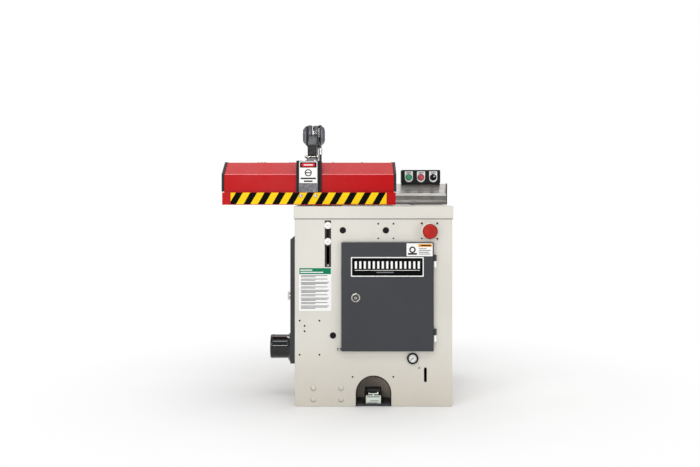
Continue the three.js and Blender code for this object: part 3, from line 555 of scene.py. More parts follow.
def corners(across, up):
    """Every pair of the two lists' values, as the places of fasteners."""
    return [(a, b) for a in across for b in up]


# ---- Fasteners ----


def button_heads(form, centres, radius, height, axis="-y", **style):
    """Domed socket screws with a round socket hole that looks dark."""
    hole = radius * 0.42
    profile = [(0, 0), (radius, 0), *dome(radius, height)[1:-2], (hole, height * 0.93),
               (hole, height * 0.3), (0, height * 0.3)]
    for centre in centres:
        form.lathe(profile, centre, axis, steps=28, **style)
    return form


def carriage_heads(form, centres, radius, height, axis="-y"):
    """Plain domed bolt heads."""
    for centre in centres:
        form.lathe([(0, -0.5), (radius, -0.5), *dome(radius, height)], centre, axis, steps=36)
    return form


def hex_heads(form, centres, across, height, axis="-y", washer=0.0):
    """Hexagon heads on an optional washer."""
    rise = 1.6 if washer else 0.0
    r = across / sqrt(3)
    profile = [(0, rise), (r, rise), (r, rise + height * 0.8), (r * 0.82, rise + height), (0, rise + height)]
    for centre in centres:
        if washer:
            form.disc(washer, centre, axis, 0, rise, steps=36, bevel=0.4)
        form.lathe(profile, centre, axis, steps=6, bevel=0.3)
    return form


# ---- Cabinet and table ----

CABINET_HIGH = at("cabinet_shell")[1]
FRONT = at("cabinet_shell")[0].y
TABLE_TOP = at("table_top")[1].z
PLUG_PROFILE = [(0, -4), (10.6, -4), (10.6, 0.2), (13.5, 0.2), (13.3, 1.6), (11.5, 3.0), (7.4, 3.6),
                (6.6, 2.2), (4.2, 2.2), (3.4, 3.0), (0, 3.2)]
FRONT_PLUGS = [(-130.5, 748), (52.5, 748), (-172.5, 301)]
SIDE_PLUGS = [(-230, 640), (230, 640), (230, 250)]
FOOT_BOLT_HEIGHTS = (31, 79)
# Rivet nuts, solid and black across their holes: partly real nuts, partly painted shade for the dark holes.
SHADED_RIVET_NUTS = [*corners((20, 85), (713, 776)), *corners((-314, -230), (219, 364)),
              (-293, 342), (-293, 319), (-89, 125), (84, 125)]
SHADED_RIVET_PROFILE = [(0, -0.5), (4.0, -0.5), (4.0, 0.4), (3.7, 0.6), (1.9, 0.6), (1.7, 0.15), (0, 0.15)]
DOOR_STOP = (-145, 242)
SOLE_SCREW = (194, 163)
INSERT_SCREW = (182, -70)
PALM_REACH = 33  # half the distance between the screws of the palm stop
AIR_INLET = (-260, 180)
MAINS_GLAND = (-260, 250)


def on_front(places):
    return [(x, FRONT, z) for x, z in places]


def cabinet():
    refine("cabinet_shell", CREAM, 0.9)
    refine("table_top", CREAM, 1.4, 3)
    refine("table_insert", ALUMINIUM, 0.5)
    refine("rear_cover", CREAM, 0.4)
    refine("foot_recess", TUNNEL, 0.6)
    dress("base_plate", CHARCOAL)


def lip_shadow_strip():
    """A dark rubber strip just under the table's folded lip, all round: painted shadow in the gap between the
    lip and the cabinet.
    """
    z = at("table_top")[0].z
    x, y, _ = CABINET_HIGH
    form = Form("lip_shadow_strip")
    for side in (-1, 1):
        form.box((-x - 2, x + 2), (side * y, side * (y + 2)), (z - 2.6, z + 2), bevel=0.3)
        form.box((side * x, side * (x + 2)), (-y, y), (z - 2.6, z + 2), bevel=0.3)
    form.place(RUBBER)


def front_plugs():
    """Push-in plugs that close the cable holes."""
    form = Form("front_plugs")
    for centre in on_front(FRONT_PLUGS):
        form.lathe(PLUG_PROFILE, centre, steps=36)
    form.place(PLUG)


def cabinet_fasteners():
    """Foot bolts with painted shadow rings set low behind them, screws and rivet nuts on the front panel, and
    the stop of the door. The rivet nuts are solid black, partly painted shade for their holes, and the stop
    stands on a black ring that is partly its rubber foot and partly painted shade.
    """
    spots = on_front(corners((-255.5, -137.5), FOOT_BOLT_HEIGHTS))
    carriage_heads(Form("cabinet_bolts"), spots, 11.6, 7.5).place(CREAM)
    # Grey-brown rings set down and to the left behind the foot bolts: painted shadow under each head.
    painted_bolt_shadow = Form("painted_bolt_shadows")
    for x, y, z in spots:
        painted_bolt_shadow.disc(11.9, (x - 0.4, y, z - 1.7), "-y", -0.3, 0.3, steps=40)
    painted_bolt_shadow.place(BOLT_SHADOW_INK)
    screws = Form("front_screws")
    x, _, z = middle("palm_stop_button")
    spots = corners((x - PALM_REACH, x + PALM_REACH), (z - PALM_REACH, z + PALM_REACH))
    button_heads(screws, on_front(spots), 4.6, 2.6, ink=1)
    button_heads(screws, on_front([SOLE_SCREW]), 6.0, 3.0)
    screws.place(PLATED, PLUG)
    # Solid black rivet nuts: partly painted shade where the holes would be dark.
    nuts = Form("rivet_nuts_painted_shade")
    for centre in on_front(SHADED_RIVET_NUTS):
        nuts.lathe(SHADED_RIVET_PROFILE, centre, steps=24)
    nuts.place(PLUG)
    centre = on_front([DOOR_STOP])[0]
    stop = Form("door_stop")
    stop.lathe([(0, 0), (7.2, 0), (7.2, 9), *dome(7.2, 3.5, 9)[1:]], centre, steps=32).place(PLATED)
    # A black ring at the stop's foot: partly a rubber foot, partly painted shade round the stop.
    foot = Form("door_stop_shade_ring")
    foot.ring(7.4, 9.6, centre, "-y", -0.3, 1.4, steps=36, bevel=0.4).place(PLUG, slot="black_rubber")


def wear_plate():
    (x0, y0, z0), (x1, y1, z1) = at("wear_plate")
    form = Form("wear_plate_finished")
    form.prism(rounded(x0, x1, y0, y1, 9), "z", z0, z1, bevel=0.6)
    form.place(STEEL, slot="brushed_steel", node="wear_plate")
    screws = Form("wear_plate_screws")
    for x, y in corners((x0 + 18, (x0 + x1) / 2, x1 - 18), (y0 + 22, y1 - 22)):
        screws.lathe([(0, -0.4), (5.5, -0.4), (5.5, 0.25), (2.3, 0.3), (2.0, -0.2), (0, -0.2)],
                     (x, y, z1), "z", steps=24)
    screws.place(NICKEL)
    hex_heads(Form("insert_screw"), [(*INSERT_SCREW, TABLE_TOP)], 13, 7, "z", washer=12).place(IRON)


def rear_fittings():
    """Cover screws, the air inlet, the mains cable gland and a plate of plain bars on the back panel."""
    (x0, _, z0), (x1, y1, z1) = at("rear_cover")
    spots = corners((x0 + 12, (x0 + x1) / 2, x1 - 12), (z0 + 12, z1 - 12))
    spots += corners((x0 + 12, x1 - 12), [(z0 + z1) / 2])
    screws = Form("rear_cover_screws")
    button_heads(screws, [(x, y1, z) for x, z in spots], 5.0, 2.8, "y").place(NICKEL)
    back = CABINET_HIGH.y
    inlet = Form("air_inlet")
    centre = (AIR_INLET[0], back, AIR_INLET[1])
    inlet.lathe([(0, 0), (13, 0), (13, 5), (0, 5)], centre, "y", steps=6, bevel=0.6)
    inlet.lathe([(3.2, 5), (8.5, 5), (8.5, 9), (6.4, 10.5), (6.4, 13), (7.6, 14), (7.6, 19), (6.2, 20.5),
                 (3.2, 20.5)], centre, "y", steps=32, closed=True)
    inlet.place(BRASS)
    gland = Form("mains_gland")
    centre = (MAINS_GLAND[0], back, MAINS_GLAND[1])
    gland.lathe([(0, 0), (15, 0), (15, 6), (0, 6)], centre, "y", steps=6, bevel=0.8)
    gland.lathe([(0, 6), (12.5, 6), (12.5, 14), (9.5, 17), (0, 17)], centre, "y", steps=24, bevel=0.5)
    gland.place(PLUG)
    plate = Form("rear_rating_plate")
    plate.prism(rounded(-300, -220, 300, 350, 3), "y", back - 0.1, back + 0.9, bevel=0.2)
    for row, width in enumerate((60, 44, 60, 52, 36)):
        z = 341 - row * 8.6
        plate.box((-290, -290 + width), (back + 0.8, back + 1.2), (z - 2.6, z), ink=1)
    plate.place(ALUMINIUM, INK)


def side_fittings():
    """Frame bolts, plugs and screws on the plain right-hand panel."""
    side = CABINET_HIGH.x
    spots = [(side, *spot) for spot in corners((-262, -150, 150, 262), FOOT_BOLT_HEIGHTS)]
    carriage_heads(Form("side_bolts"), spots, 12.2, 7.5, "x").place(CREAM)
    plugs = Form("side_plugs")
    for spot in SIDE_PLUGS:
        plugs.lathe(PLUG_PROFILE, (side, *spot), "x", steps=36)
    plugs.place(PLUG)
    spots = [(side, *spot) for spot in corners((-300, 300), (200, 445, 690))]
    button_heads(Form("side_screws"), spots, 5.0, 2.8, "x").place(NICKEL)


# ---- Fence and its controls ----

FENCE_FOLD, FENCE_FOOT = 905.5, 892.4
SELECTOR = (296, 980)


def fences():
    for node in ("fence_right", "fence_left"):
        # Faces between the foot and the fold take the near-white paint, a painted highlight on the fold.
        # Faces below the foot take a darker copy of the steel, painted shade.
        refine(node, STEEL, 1.6, 3, zones=((FENCE_FOLD, SHEEN_WHITE), (FENCE_FOOT, SHADED_STEEL)))
    (x0, y0, z0), (x1, y1, z1) = at("fence_right")
    spots = [(x, y1 - 18, z1) for x in (x0 + 40, x0 + 200, x0 + 380, x1 - 40)]
    button_heads(Form("fence_screws"), spots, 5.0, 2.8, "z").place(NICKEL)
    end = Form("fence_end_cap")
    end.box((x1 - 3.5, x1 + 1.0), (y0 - 0.6, y1 + 0.6), (z0, z1 + 0.6), bevel=0.5)
    end.place(CHARCOAL, slot="brushed_steel")


def control_station():
    (x0, y0, z0), (x1, _, z1) = at("control_box")
    refine("control_box", BOX_BLACK, 1.6, 3)
    spots = [(x, y0, z) for x, z in corners((x0 + 8, x1 - 8), (z0 + 9, z1 - 9))]
    button_heads(Form("control_box_screws"), spots, 3.0, 1.8).place(PLUG, slot="machined_steel")
    plates = Form("legend_plates")
    # The green and red bezels are darker copies of their cap colours: painted shade round the caps.
    for node, material in (("start_button", GREEN_BEZEL_SHADE), ("stop_button", STOP_BEZEL_SHADE), ("selector_knob", PLUG)):
        x, _, z = middle(node)
        bore = 13.1
        if node == "selector_knob":
            (x, z), bore = SELECTOR, 11.3
        outline = [(x - 19, z + 28), (x - 19, z - 4), *arc(x, z - 4, 19, 180, 360, 14), (x + 19, z + 28)]
        plates.prism(outline[::-1], "y", y0 - 1.5, y0 - 0.1, bevel=0.4)
        plates.box((x - 12, x + 12), (y0 - 1.9, y0 - 1.4), (z + 18.5, z + 23.5), ink=1)
        bezel = Form(node + "_bezel")
        bezel.lathe([(bore, 0), (15.6, 0), (15.6, 1.6), (14.8, 2.4), (bore, 2.4)], (x, y0 - 1.5, z),
                    closed=True, steps=40)
        bezel.place(material)
    plates.place(WHITE, INK, slot="aluminium")
    for node, material, name in (("start_button", GREEN, "start_cap"), ("stop_button", STOP, "stop_cap")):
        x, _, z = middle(node)
        reach = y0 - at(node)[0].y
        rim = [(12.8, reach - 3), (12.8, reach - 1.2), (12.2, reach - 0.3), (11, reach), (8.6, reach - 0.2)]
        stem = [(0, -16), (10.8, -16), (10.8, reach - 3.2)]
        cap = Form(name)
        cap.lathe([*stem, *rim, (7.8, reach - 1.0), (0, reach - 1.3)], (x, y0, z))
        cap.place(material, node=node)
    selector(*SELECTOR, y0)


def selector(x, z, y0):
    """A round knob with a raised finger bar and a white pointer line."""
    form = Form("selector_finished")
    form.lathe([(0, -16), (10.8, -16), (10.8, 4.2), (9.8, 5.2), (0, 5.2)], (x, y0, z), steps=40)
    turn = radians(40)

    def spin(points):
        return [(x + a * cos(turn) + b * sin(turn), z - a * sin(turn) + b * cos(turn)) for a, b in points]

    form.prism(spin(rounded(-3.6, 3.6, -10.2, 10.4, 3.2)), "y", y0 - 17, y0 - 4.6, bevel=1.0)
    line = spin([(-1.5, 0.5), (1.5, 0.5), (1.5, 9.8), (-1.5, 9.8)])
    form.prism(line, "y", y0 - 17.2, y0 - 16.6, ink=1)
    form.place(PLUG, WHITE, node="selector_knob")


def control_cable():
    """The cable leaves the back of the box by a gland and drops behind the fence."""
    (x0, _, z0), (_, y1, _) = at("control_box")
    x, z = x0 + 60, z0 + 26
    drop_x, drop_y = x - 60, y1 + 46
    gland = Form("cable_gland")
    gland.lathe([(0, -2), (10, -2), (10, 5), (8.6, 6), (8.6, 13), (6.4, 16), (0, 16)], (x, y1, z), "y",
                steps=18, bevel=0.4)
    gland.lathe([(0, -1), (10, -1), (10, 5), (8.6, 6), (8.6, 12), (6.4, 15), (0, 15)],
                (drop_x, drop_y, TABLE_TOP), "z", steps=18, bevel=0.4)
    gland.place(PLUG)
    cable = Form("control_cable")
    cable.tube([(x, y1 + 12, z), (x, y1 + 26, z - 2), (x - 12, y1 + 42, z - 26), (x - 46, y1 + 47, z - 66),
                (drop_x, drop_y, TABLE_TOP + 34), (drop_x, drop_y, TABLE_TOP + 10)], 4.2)
    cable.place(RUBBER)


# ---- Front panel ----

PLACARD = (-317.5, -179, 405.5, 589.5)  # the labels' edges: X from and to, Z from and to
NAME_PLATE = (-96, 211.5, 553, 636)
CORNER_LABEL = (139, 249, 639.5, 694)
SLOT_SCREW_HEIGHT = 599
FIRST_RIB, RIB_PITCH, RIBS = 709, 4, 13
ZERO_TURN = 225  # where the gauge's scale begins, in degrees
TICKS = 30


def palm_stop():
    x, _, z = middle("palm_stop_button")
    top = FRONT - at("palm_stop_button")[0].y
    centre = (x, FRONT, z)
    button = Form("palm_button")
    crown = [(32 * cos(radians(t)), top - 14 + 14 * sin(radians(t))) for t in range(0, 90, 9)]
    skirt = [(0, -20), (14, -20), (14, top - 23), (29, top - 22), (31.6, top - 19)]
    button.lathe([*skirt, *crown, (0, top)], centre, steps=64)
    # A dark red band over the rim of the dome: painted shade where it turns away.
    edge = [(32.2 * cos(radians(t)), top - 14 + 14.2 * sin(radians(t))) for t in (-6, 4, 14, 21)]
    button.lathe([*edge, (27, top - 12), (27, top - 18)], centre, steps=64, ink=1, closed=True)
    button.place(PALM, PALM_RIM_SHADE, node="palm_stop_button")
    base = Form("palm_button_base")
    base.lathe([(14.5, 0.3), (36, 0.3), (36, 3.5), (34.8, 5.2), (28, 8), (27, 14), (25.8, 15), (14.5, 15)],
               centre, steps=64, closed=True)
    base.place(RIM, node="stop_button_base")


def gauge():
    """A panel gauge with a ticked dial, a needle at zero and a clear lens."""
    x, _, z = middle("gauge_case")
    centre = (x, FRONT, z)
    case = Form("gauge_case_finished")
    case.lathe([(0, -30), (21.5, -30), (21.5, 0.3), (24, 0.3), (24, 7.5), (23.4, 9), (22, 10), (18.6, 10),
                (17.6, 9), (17.4, 4), (0, 4)], centre, steps=56)
    case.place(PLUG, node="gauge_case")
    dial = Form("gauge_dial")
    dial.disc(17.2, centre, "-y", 4.1, 4.6, steps=56)
    for i in range(TICKS + 1):
        turn = radians(ZERO_TURN - 270 * i / TICKS)
        inner, wide = (12.2, 0.5) if i % 5 == 0 else (13.9, 0.28)
        along = Vector((cos(turn), sin(turn)))
        across = Vector((-along.y, along.x)) * wide
        tick = [along * inner + across, along * inner - across, along * 15.8 - across, along * 15.8 + across]
        dial.prism([(x + p.x, z + p.y) for p in tick], "y", FRONT - 4.9, FRONT - 4.5, ink=1)
    dial.place(WHITE, BLACK, slot="black_plastic")
    needle = Form("gauge_needle_finished")
    turn = radians(ZERO_TURN)
    up = Vector((sin(turn), cos(turn)))
    side = Vector((up.y, -up.x))
    blade = [side * -1.5 - up * 5, side * 1.5 - up * 5, side * 0.5 + up * 13.4, side * -0.5 + up * 13.4]
    needle.prism([(x + p.x, z + p.y) for p in blade], "y", FRONT - 6.1, FRONT - 5.5)
    needle.lathe([(0, 5.2), (2.6, 5.2), (2.6, 6.4), (1.9, 6.9), (0, 7.0)], centre, steps=20)
    needle.place(BLACK, node="gauge_needle")
    lens = Form("gauge_lens")
    lens.lathe([(0, 8.0), (17.5, 8.0), (17.5, 8.8), (0, 9.3)], centre).place(GLASS)
    refine("air_regulator", PLASTIC, 1.2)


def stroke_slot():
    """The upright slot with its ribbed valve, two flanged bolts and an end screw."""
    refine("slot_rail", UMBER, 0.8)
    refine("limit_valve", PLASTIC, 0.8)
    x = middle("slot_rail").x
    ribs = Form("limit_valve_ribs")
    for i in range(RIBS):
        z = FIRST_RIB + i * RIB_PITCH
        ribs.box((x - 5.5, x + 5.5), (FRONT + 5, FRONT + 12), (z, z + 2.4), bevel=0.5)
    ribs.place(PLUG, body="stroke_limit")
    for node in ("slot_bolt_lower", "slot_bolt_upper"):
        bolt_x, _, bolt_z = middle(node)
        form = Form(node + "_finished")
        form.lathe([(0, -30), (5, -30), (5, 0.3), (15, 0.3), (15, 2.2), (14.2, 3.2), (9.4, 3.4), (9.4, 8.6),
                    (8.4, 9.8), (4.6, 9.8), (4.6, 5.0), (0, 5.0)], (bolt_x, FRONT, bolt_z))
        # The bolts take the near-white paint: a painted reflection in place of their plated shine.
        form.place(SHEEN_WHITE, node=node)
    button_heads(Form("slot_end_screw"), [(x, FRONT + 3.3, SLOT_SCREW_HEIGHT)], 4.6, 2.6).place(NICKEL)


def bars(form, x0, x1, z_top, y, lengths, pitch, thick, ink):
    """Lines of plain grey bars where small print would be."""
    for row, (start, share) in enumerate(lengths):
        z = z_top - row * pitch
        left = x0 + (x1 - x0) * start
        form.box((left, left + (x1 - x0) * share), (y - 0.25, y + 0.1), (z - thick, z), ink=ink)


def placards():
    """Plain label plates: coloured headers and grey bars, with no words on them."""
    y = FRONT
    safety = Form("panel_placard")
    safety.prism(rounded(*PLACARD, 3), "y", y - 0.7, y + 0.1)
    safety.prism(rounded(-315.5, -181, 561.5, 587.5, 1.5), "y", y - 1.0, y - 0.6, ink=1)
    bars(safety, -311, -190, 581, y - 1.0, [(0, 0.42), (0, 0.8)], 9.5, 4.2, 0)
    z = 556.5
    for lines in (2, 2, 3, 2, 3, 2, 3, 2, 3):
        rows = [(0, 0.97), (0.02, 0.9), (0.01, 0.5)][3 - lines:]
        bars(safety, -310, -186, z, y - 0.7, rows, 5.0, 2.5, 2)
        z -= 5.0 * lines + 4.2
    safety.place(WHITE, HEADER, FINE, slot="cream_paint")
    face = at("front_door")[0].y
    plate = Form("door_name_plate")
    plate.prism(rounded(*NAME_PLATE, 3), "y", face - 1.2, face + 0.1, ink=1, bevel=0.3)
    plate.prism(rounded(-91.6, 207.1, 557.4, 631.6, 4), "y", face - 1.6, face - 1.1)
    for i in range(15):
        left = -80 + i * 19
        plate.box((left, left + 9), (face - 1.9, face - 1.5), (587, 618), ink=1)
    plate.box((-80, 195), (face - 1.9, face - 1.5), (579, 581), ink=1)
    plate.box((12, 84), (face - 1.9, face - 1.5), (569, 573.5), ink=2)
    plate.place(BLACK, WHITE, INK, body="door", slot="charcoal_paint")
    small = Form("door_corner_label")
    small.prism(rounded(*CORNER_LABEL, 2), "y", face - 0.7, face + 0.1)
    small.box((189, 246), (face - 1.0, face - 0.6), (679, 691), ink=1)
    small.box((199, 241), (face - 1.3, face - 0.9), (682.5, 687), ink=2)
    bars(small, 191, 244, 673, face - 0.7, [(0, 0.6), (0, 0.95), (0, 0.8), (0, 0.9)], 7.6, 3.0, 3)
    small.ring(8, 13.5, (164, face, 667), "-y", 0.6, 1.0, steps=32, ink=2)
    small.prism(rounded(145, 183, 646, 653, 2), "y", face - 1.2, face - 0.6, ink=2)
    small.place(WHITE, AMBER, BLACK, INK, body="door", slot="charcoal_paint")


# ---- Doors ----

LOCK = (-76, 464)
KNUCKLE = 14  # how far the hinge knuckles stand out of the front door's edge
PORT_BORE = 48.5


def framed(form, outer, inner, start, end, radius, **style):
    """A flat frame in the front plane: an outer rectangle less an inner one, as (x0, x1, z0, z1)."""
    plate = Form("plate").prism(rounded(*outer, radius), "y", start, end).loose()
    window = Form("window").prism(rounded(*inner, max(radius - 4, 1)), "y", start - 5, end + 5)
    combine(plate, "DIFFERENCE", window)
    adopt(form, plate, **style)
    return form


def front_door():
    """The door with its raised surround, rubber seal, hinge halves and round lock."""
    refine("front_door", CHARCOAL, 0.9)
    (x0, face, z0), (x1, y1, z1) = at("front_door")
    x1 -= KNUCKLE
    framed(Form("door_surround"), (x0 - 15, x1 + 17, z0 - 13, z1 + 14), (x0 - 2, x1 + 3, z0 - 2, z1 + 2),
           FRONT - 2.4, FRONT + 0.2, 3, bevel=0.7, segments=3).place(CREAM)
    framed(Form("door_seal"), (x0 + 3, x1 - 3, z0 + 3, z1 - 3), (x0 + 12, x1 - 12, z0 + 12, z1 - 12),
           y1 - 9, y1 - 1.2, 5, bevel=1.5).place(RUBBER, body="door")
    # The hinges take the near-white paint: a painted reflection in place of their plated shine.
    for node in ("door_hinge_lower", "door_hinge_upper"):
        refine(node, SHEEN_WHITE, 0.4)
    x, z = LOCK
    cam = at("door_lock")[1]
    lock = Form("door_lock_finished")
    lock.lathe([(0, 0.3), (20, 0.3), (20, 2.6), (18.6, 4.4), (15.8, 5.6), (14.6, 5.0), (13.8, 5.2),
                (13.2, 9.0), (12.0, 10.3), (0, 10.3)], (x, face, z), steps=64)
    # The black bar on the face paints the keyway's shaded slot, and the umber ring paints a dark reflection
    # in the plated face.
    lock.box((x - 1.1, x + 1.1), (face - 10.9, face - 9.8), (z - 5.5, z + 5.5), ink=1, bevel=0.2)
    lock.ring(6.4, 12.6, (x, face, z), "-y", 9.6, 10.7, steps=48, bevel=0.25, ink=2)
    lock.disc(9, (x, face, z), "y", -1, 29, steps=24)
    lock.box((x - 8, x + 8), (cam.y - 3.4, cam.y - 0.2), (z - 8, cam.z - 0.2), bevel=0.6)
    lock.place(PLATED, BLACK, UMBER, node="door_lock")


def side_door():
    """The side door with its hinge and latch, and the dust port's pipe, flange and bolts."""
    refine("side_door", CHARCOAL, 0.9)
    refine("side_hinge", CHARCOAL, 0.5)
    refine("side_latch", NICKEL, 0.8)
    (x0, y0, z0), (x1, y1, z1) = at("dust_port")
    y, z = (y0 + y1) / 2, (z0 + z1) / 2
    port = Form("dust_port_pipe")
    rear = x1 - x0
    profile = [(PORT_BORE, 0), (51, 0), (51, 7), (52.4, 8.2), (52.4, 11.8), (51, 13), (51, rear - 16),
               (52, rear - 10), (55.5, rear - 4.5), (55.5, rear - 3.5), (PORT_BORE, rear - 3.5)]
    port.lathe(profile[::-1], (x0, y, z), "x", steps=72, closed=True)
    flange = Form("flange").prism(rounded(y0, y1, z0, z1, 6), "x", x1 - 3.7, x1).loose()
    bore = Form("bore").disc(PORT_BORE, (x1 - 20, y, z), "x", 0, 40, steps=72)
    combine(flange, "DIFFERENCE", bore)
    adopt(port, flange, bevel=0.7)
    port.place(GLOSSY, node="dust_port")
    spots = [(x1 - 4, *spot) for spot in corners((y - 47, y + 47), (z - 47, z + 47))]
    bolts = hex_heads(Form("dust_port_bolts"), spots, 8, 5, "-x", washer=7)
    for spot in spots:
        bolts.disc(2.4, spot, "-x", 0, 11, steps=16, bevel=0.4)
    bolts.place(NICKEL, body="blade_door")


# ---- Guard, bracket and overarm ----

GUARD_FOLDS = ((-316, 986), (-219, 1040), (40, 1040))
FOLD_HIGHLIGHT_BAND = (984.4, 988.6)  # heights between which the guard's front fold gets a painted highlight
SLOPE_SCREWS = (-504, -488, -475, -366, -354, -345, -175, -47, 84)
REAR_SCREWS = (-604, -420, -120, 66)
STRAP = (-319, -238)
HEAD_BOTTOM, HEAD_HALF = 1126.5, 53.8


def guard():
    """The red guard with a painted highlight along its front fold, rubber end caps, its apron, tape and
    screws.
    """
    highlight_low, highlight_high = FOLD_HIGHLIGHT_BAND
    # The faces in the fold band take the pale red: a painted highlight along the bend.
    refine("guard_shell", RED, 0.9, bends=GUARD_FOLDS, bend=3.0,
           zones=((highlight_high, FOLD_HIGHLIGHT_RED), (highlight_low, RED)))
    refine("guard_cap_left", RUBBER, 1.6, 3)
    refine("guard_cap_right", RUBBER, 1.6, 3)
    refine("guard_apron", RED, 0.8)
    hazard_tape()
    _, y, z = at("guard_shell")[1]
    screws = Form("guard_screws")
    button_heads(screws, [(x, y - 246, z) for x in SLOPE_SCREWS], 4.2, 4.2, "z")
    button_heads(screws, [(x, y - 22, z) for x in REAR_SCREWS], 4.6, 2.8, "z")
    screws.place(NICKEL, body="hold_down")
    face = at("guard_apron")[0].y
    spots = [(x, face - 1.2, 894.5) for x in (-310, -247)]
    carriage_heads(Form("apron_bolts"), spots, 8.2, 4.6).place(NICKEL, body="hold_down")


def hazard_tape():
    """Yellow tape with leaning black bands, cut square at both ends."""
    x0, x1, z0, z1 = -610.5, 56, 858.5, 908.2
    first, pitch, band, lean = -617.0, 61.2, 29.5, 29.0
    y = at("guard_apron")[0].y
    form = Form("hazard_tape")
    form.box((x0, x1), (y - 0.6, y + 0.1), (z0, z1))
    for i in range(11):
        left = first + i * pitch
        stripe = [(left, z0), (left + band, z0), (left + band + lean, z1), (left + lean, z1)]
        form.prism(clip(stripe, x0, x1), "y", y - 0.95, y - 0.5, ink=1)
    form.place(YELLOW, BLACK, body="hold_down", slot="red_paint")


def clip(outline, low, high):
    """Cuts a polygon to the band of x between low and high."""
    for limit, side in ((low, 1), (high, -1)):
        kept = []
        for a, b in zip(outline, outline[1:] + outline[:1]):
            inside = side * (a[0] - limit) >= 0
            if inside:
                kept.append(a)
            if inside != (side * (b[0] - limit) >= 0):
                t = (limit - a[0]) / (b[0] - a[0])
                kept.append((limit, a[1] + t * (b[1] - a[1])))
        outline = kept
    return outline


def bracket():
    """The saddle over the guard, with its pebbled strap, a plain label and bolts."""
    refine("saddle_bracket", DARK, 0.9)
    low, high = at("saddle_bracket")
    x0, x1 = STRAP
    y = low.y - 3.6
    strap = Form("bracket_strap")
    strap.box(STRAP, (y, low.y - 0.1), (909.5, 1044), bevel=1.4, segments=3)
    strap.place(PEBBLE, body="hold_down")
    label = Form("bracket_label")
    label.prism(rounded(x0 + 2, x1 - 2, 949, 1041, 2), "y", y - 0.6, y + 0.1)
    label.prism(rounded(x0 + 5, x1 - 5, 1015, 1038, 1), "y", y - 0.9, y - 0.5, ink=1)
    label.prism(rounded(x0 + 11, x1 - 11, 1018, 1035, 8.4), "y", y - 1.2, y - 0.8, ink=2)
    label.box((x0 + 21, x1 - 21), (y - 1.5, y - 1.1), (1024.2, 1028.8))
    label.ring(11, 15, ((x0 + x1) / 2, y, 993), "-y", 0.5, 0.9, steps=32, ink=1)
    for inset, zs in ((29, (991, 995)), (8, (966, 972)), (22, (954, 960))):
        label.box((x0 + inset, x1 - inset), (y - 0.9, y - 0.5), zs, ink=1)
    label.place(WHITE, BLACK, SIGNAL, body="hold_down", slot="grey_casting")
    spots = [(*spot, high.z - 6) for spot in corners((-306, -254), (-170, -60))]
    hex_heads(Form("bracket_bolts"), spots, 13, 7, "z", washer=11).place(NICKEL, body="hold_down")


def hose():
    """The air hose: a riser beside the bracket, a plated elbow, and a run back to the column."""
    x, y = -225.4, -320
    form = Form("air_hose_finished")
    form.tube([(x, y, z) for z in (915, 960, 1010, 1060, 1074)], 4.1)
    form.tube([(x, y + 16, 1092), (x - 1, -270, 1092), (-228, -200, 1096), (-232, -110, 1106),
               (-240, 0, 1126), (-247, 70, 1141), (-252, 128, 1150)], 3.9)
    form.place(RUBBER, node="air_hose")
    elbow = Form("hose_elbow")
    elbow.lathe([(0, 0), (6.6, 0), (6.6, 5), (5.4, 6), (5.4, 15), (6.4, 16), (6.4, 25), (4.8, 27), (0, 27)],
                (x, y, 1071), "z", steps=20, bevel=0.3)
    elbow.lathe([(0, 0), (5.4, 0), (5.4, 12), (6.4, 13), (6.4, 19), (0, 19)], (x, y, 1092), "y", steps=20,
                bevel=0.3)
    elbow.place(NICKEL, body="hold_down")


def clamp_head(x, y, bottom, top):
    """The split casting that grips the column, with two side lobes and a second slot."""
    half = HEAD_HALF
    low, high = bottom - 10, top + 10
    head = Form("head").prism(arc(x, y, 34, 0, 360, 48)[:-1], "z", low, high).loose()
    for name, outline, start in (
        ("left_lobe", rounded(x - half - 2, x - 27, y - 34, y + 34, 12.5, 8), low),
        ("right_lobe", rounded(x + 28, x + half + 2, y - 46, y + 40, 11.5, 8), low),
        ("rear_web", rounded(x - 44, x + 44, y - 14, y + 44, 8, 4), low),
        ("left_jaw", rounded(x - 26, x - 8, y - 50, y, 6, 5), low + 20),
        ("right_jaw", rounded(x + 3, x + 25, y - 54, y, 6, 5), low + 26),
    ):
        combine(head, "UNION", Form(name).prism(outline, "z", start, high))
    outline = [
        (x - 24, bottom), (x + 22, bottom), (x + half - 5, bottom + 27), (x + half, bottom + 40),
        (x + half, top - 22), (x + half - 3, top - 12), (x + half - 13, top - 6), (x + half - 15, top),
        (x + half - 29, top), (x + 22, top - 5), (x - half + 32, top - 1), (x - half + 14, top - 6),
        (x - half + 2, top - 20), (x - half, top - 30), (x - half, bottom + 38), (x - half + 4, bottom + 28),
    ]
    combine(head, "INTERSECT", Form("trim").prism(outline, "y", y - 120, y + 120))
    combine(head, "DIFFERENCE", Form("slit").box((x - 7, x + 1.6), (y - 80, y), (top - 56, top + 20)))
    combine(head, "DIFFERENCE", Form("slot").box((x + 25, x + 32), (y - 80, y + 33), (top - 62, top - 9)))
    combine(head, "DIFFERENCE", Form("bore").disc(22.6, (x, y, 0), "z", low - 20, 1216, steps=48))
    return head


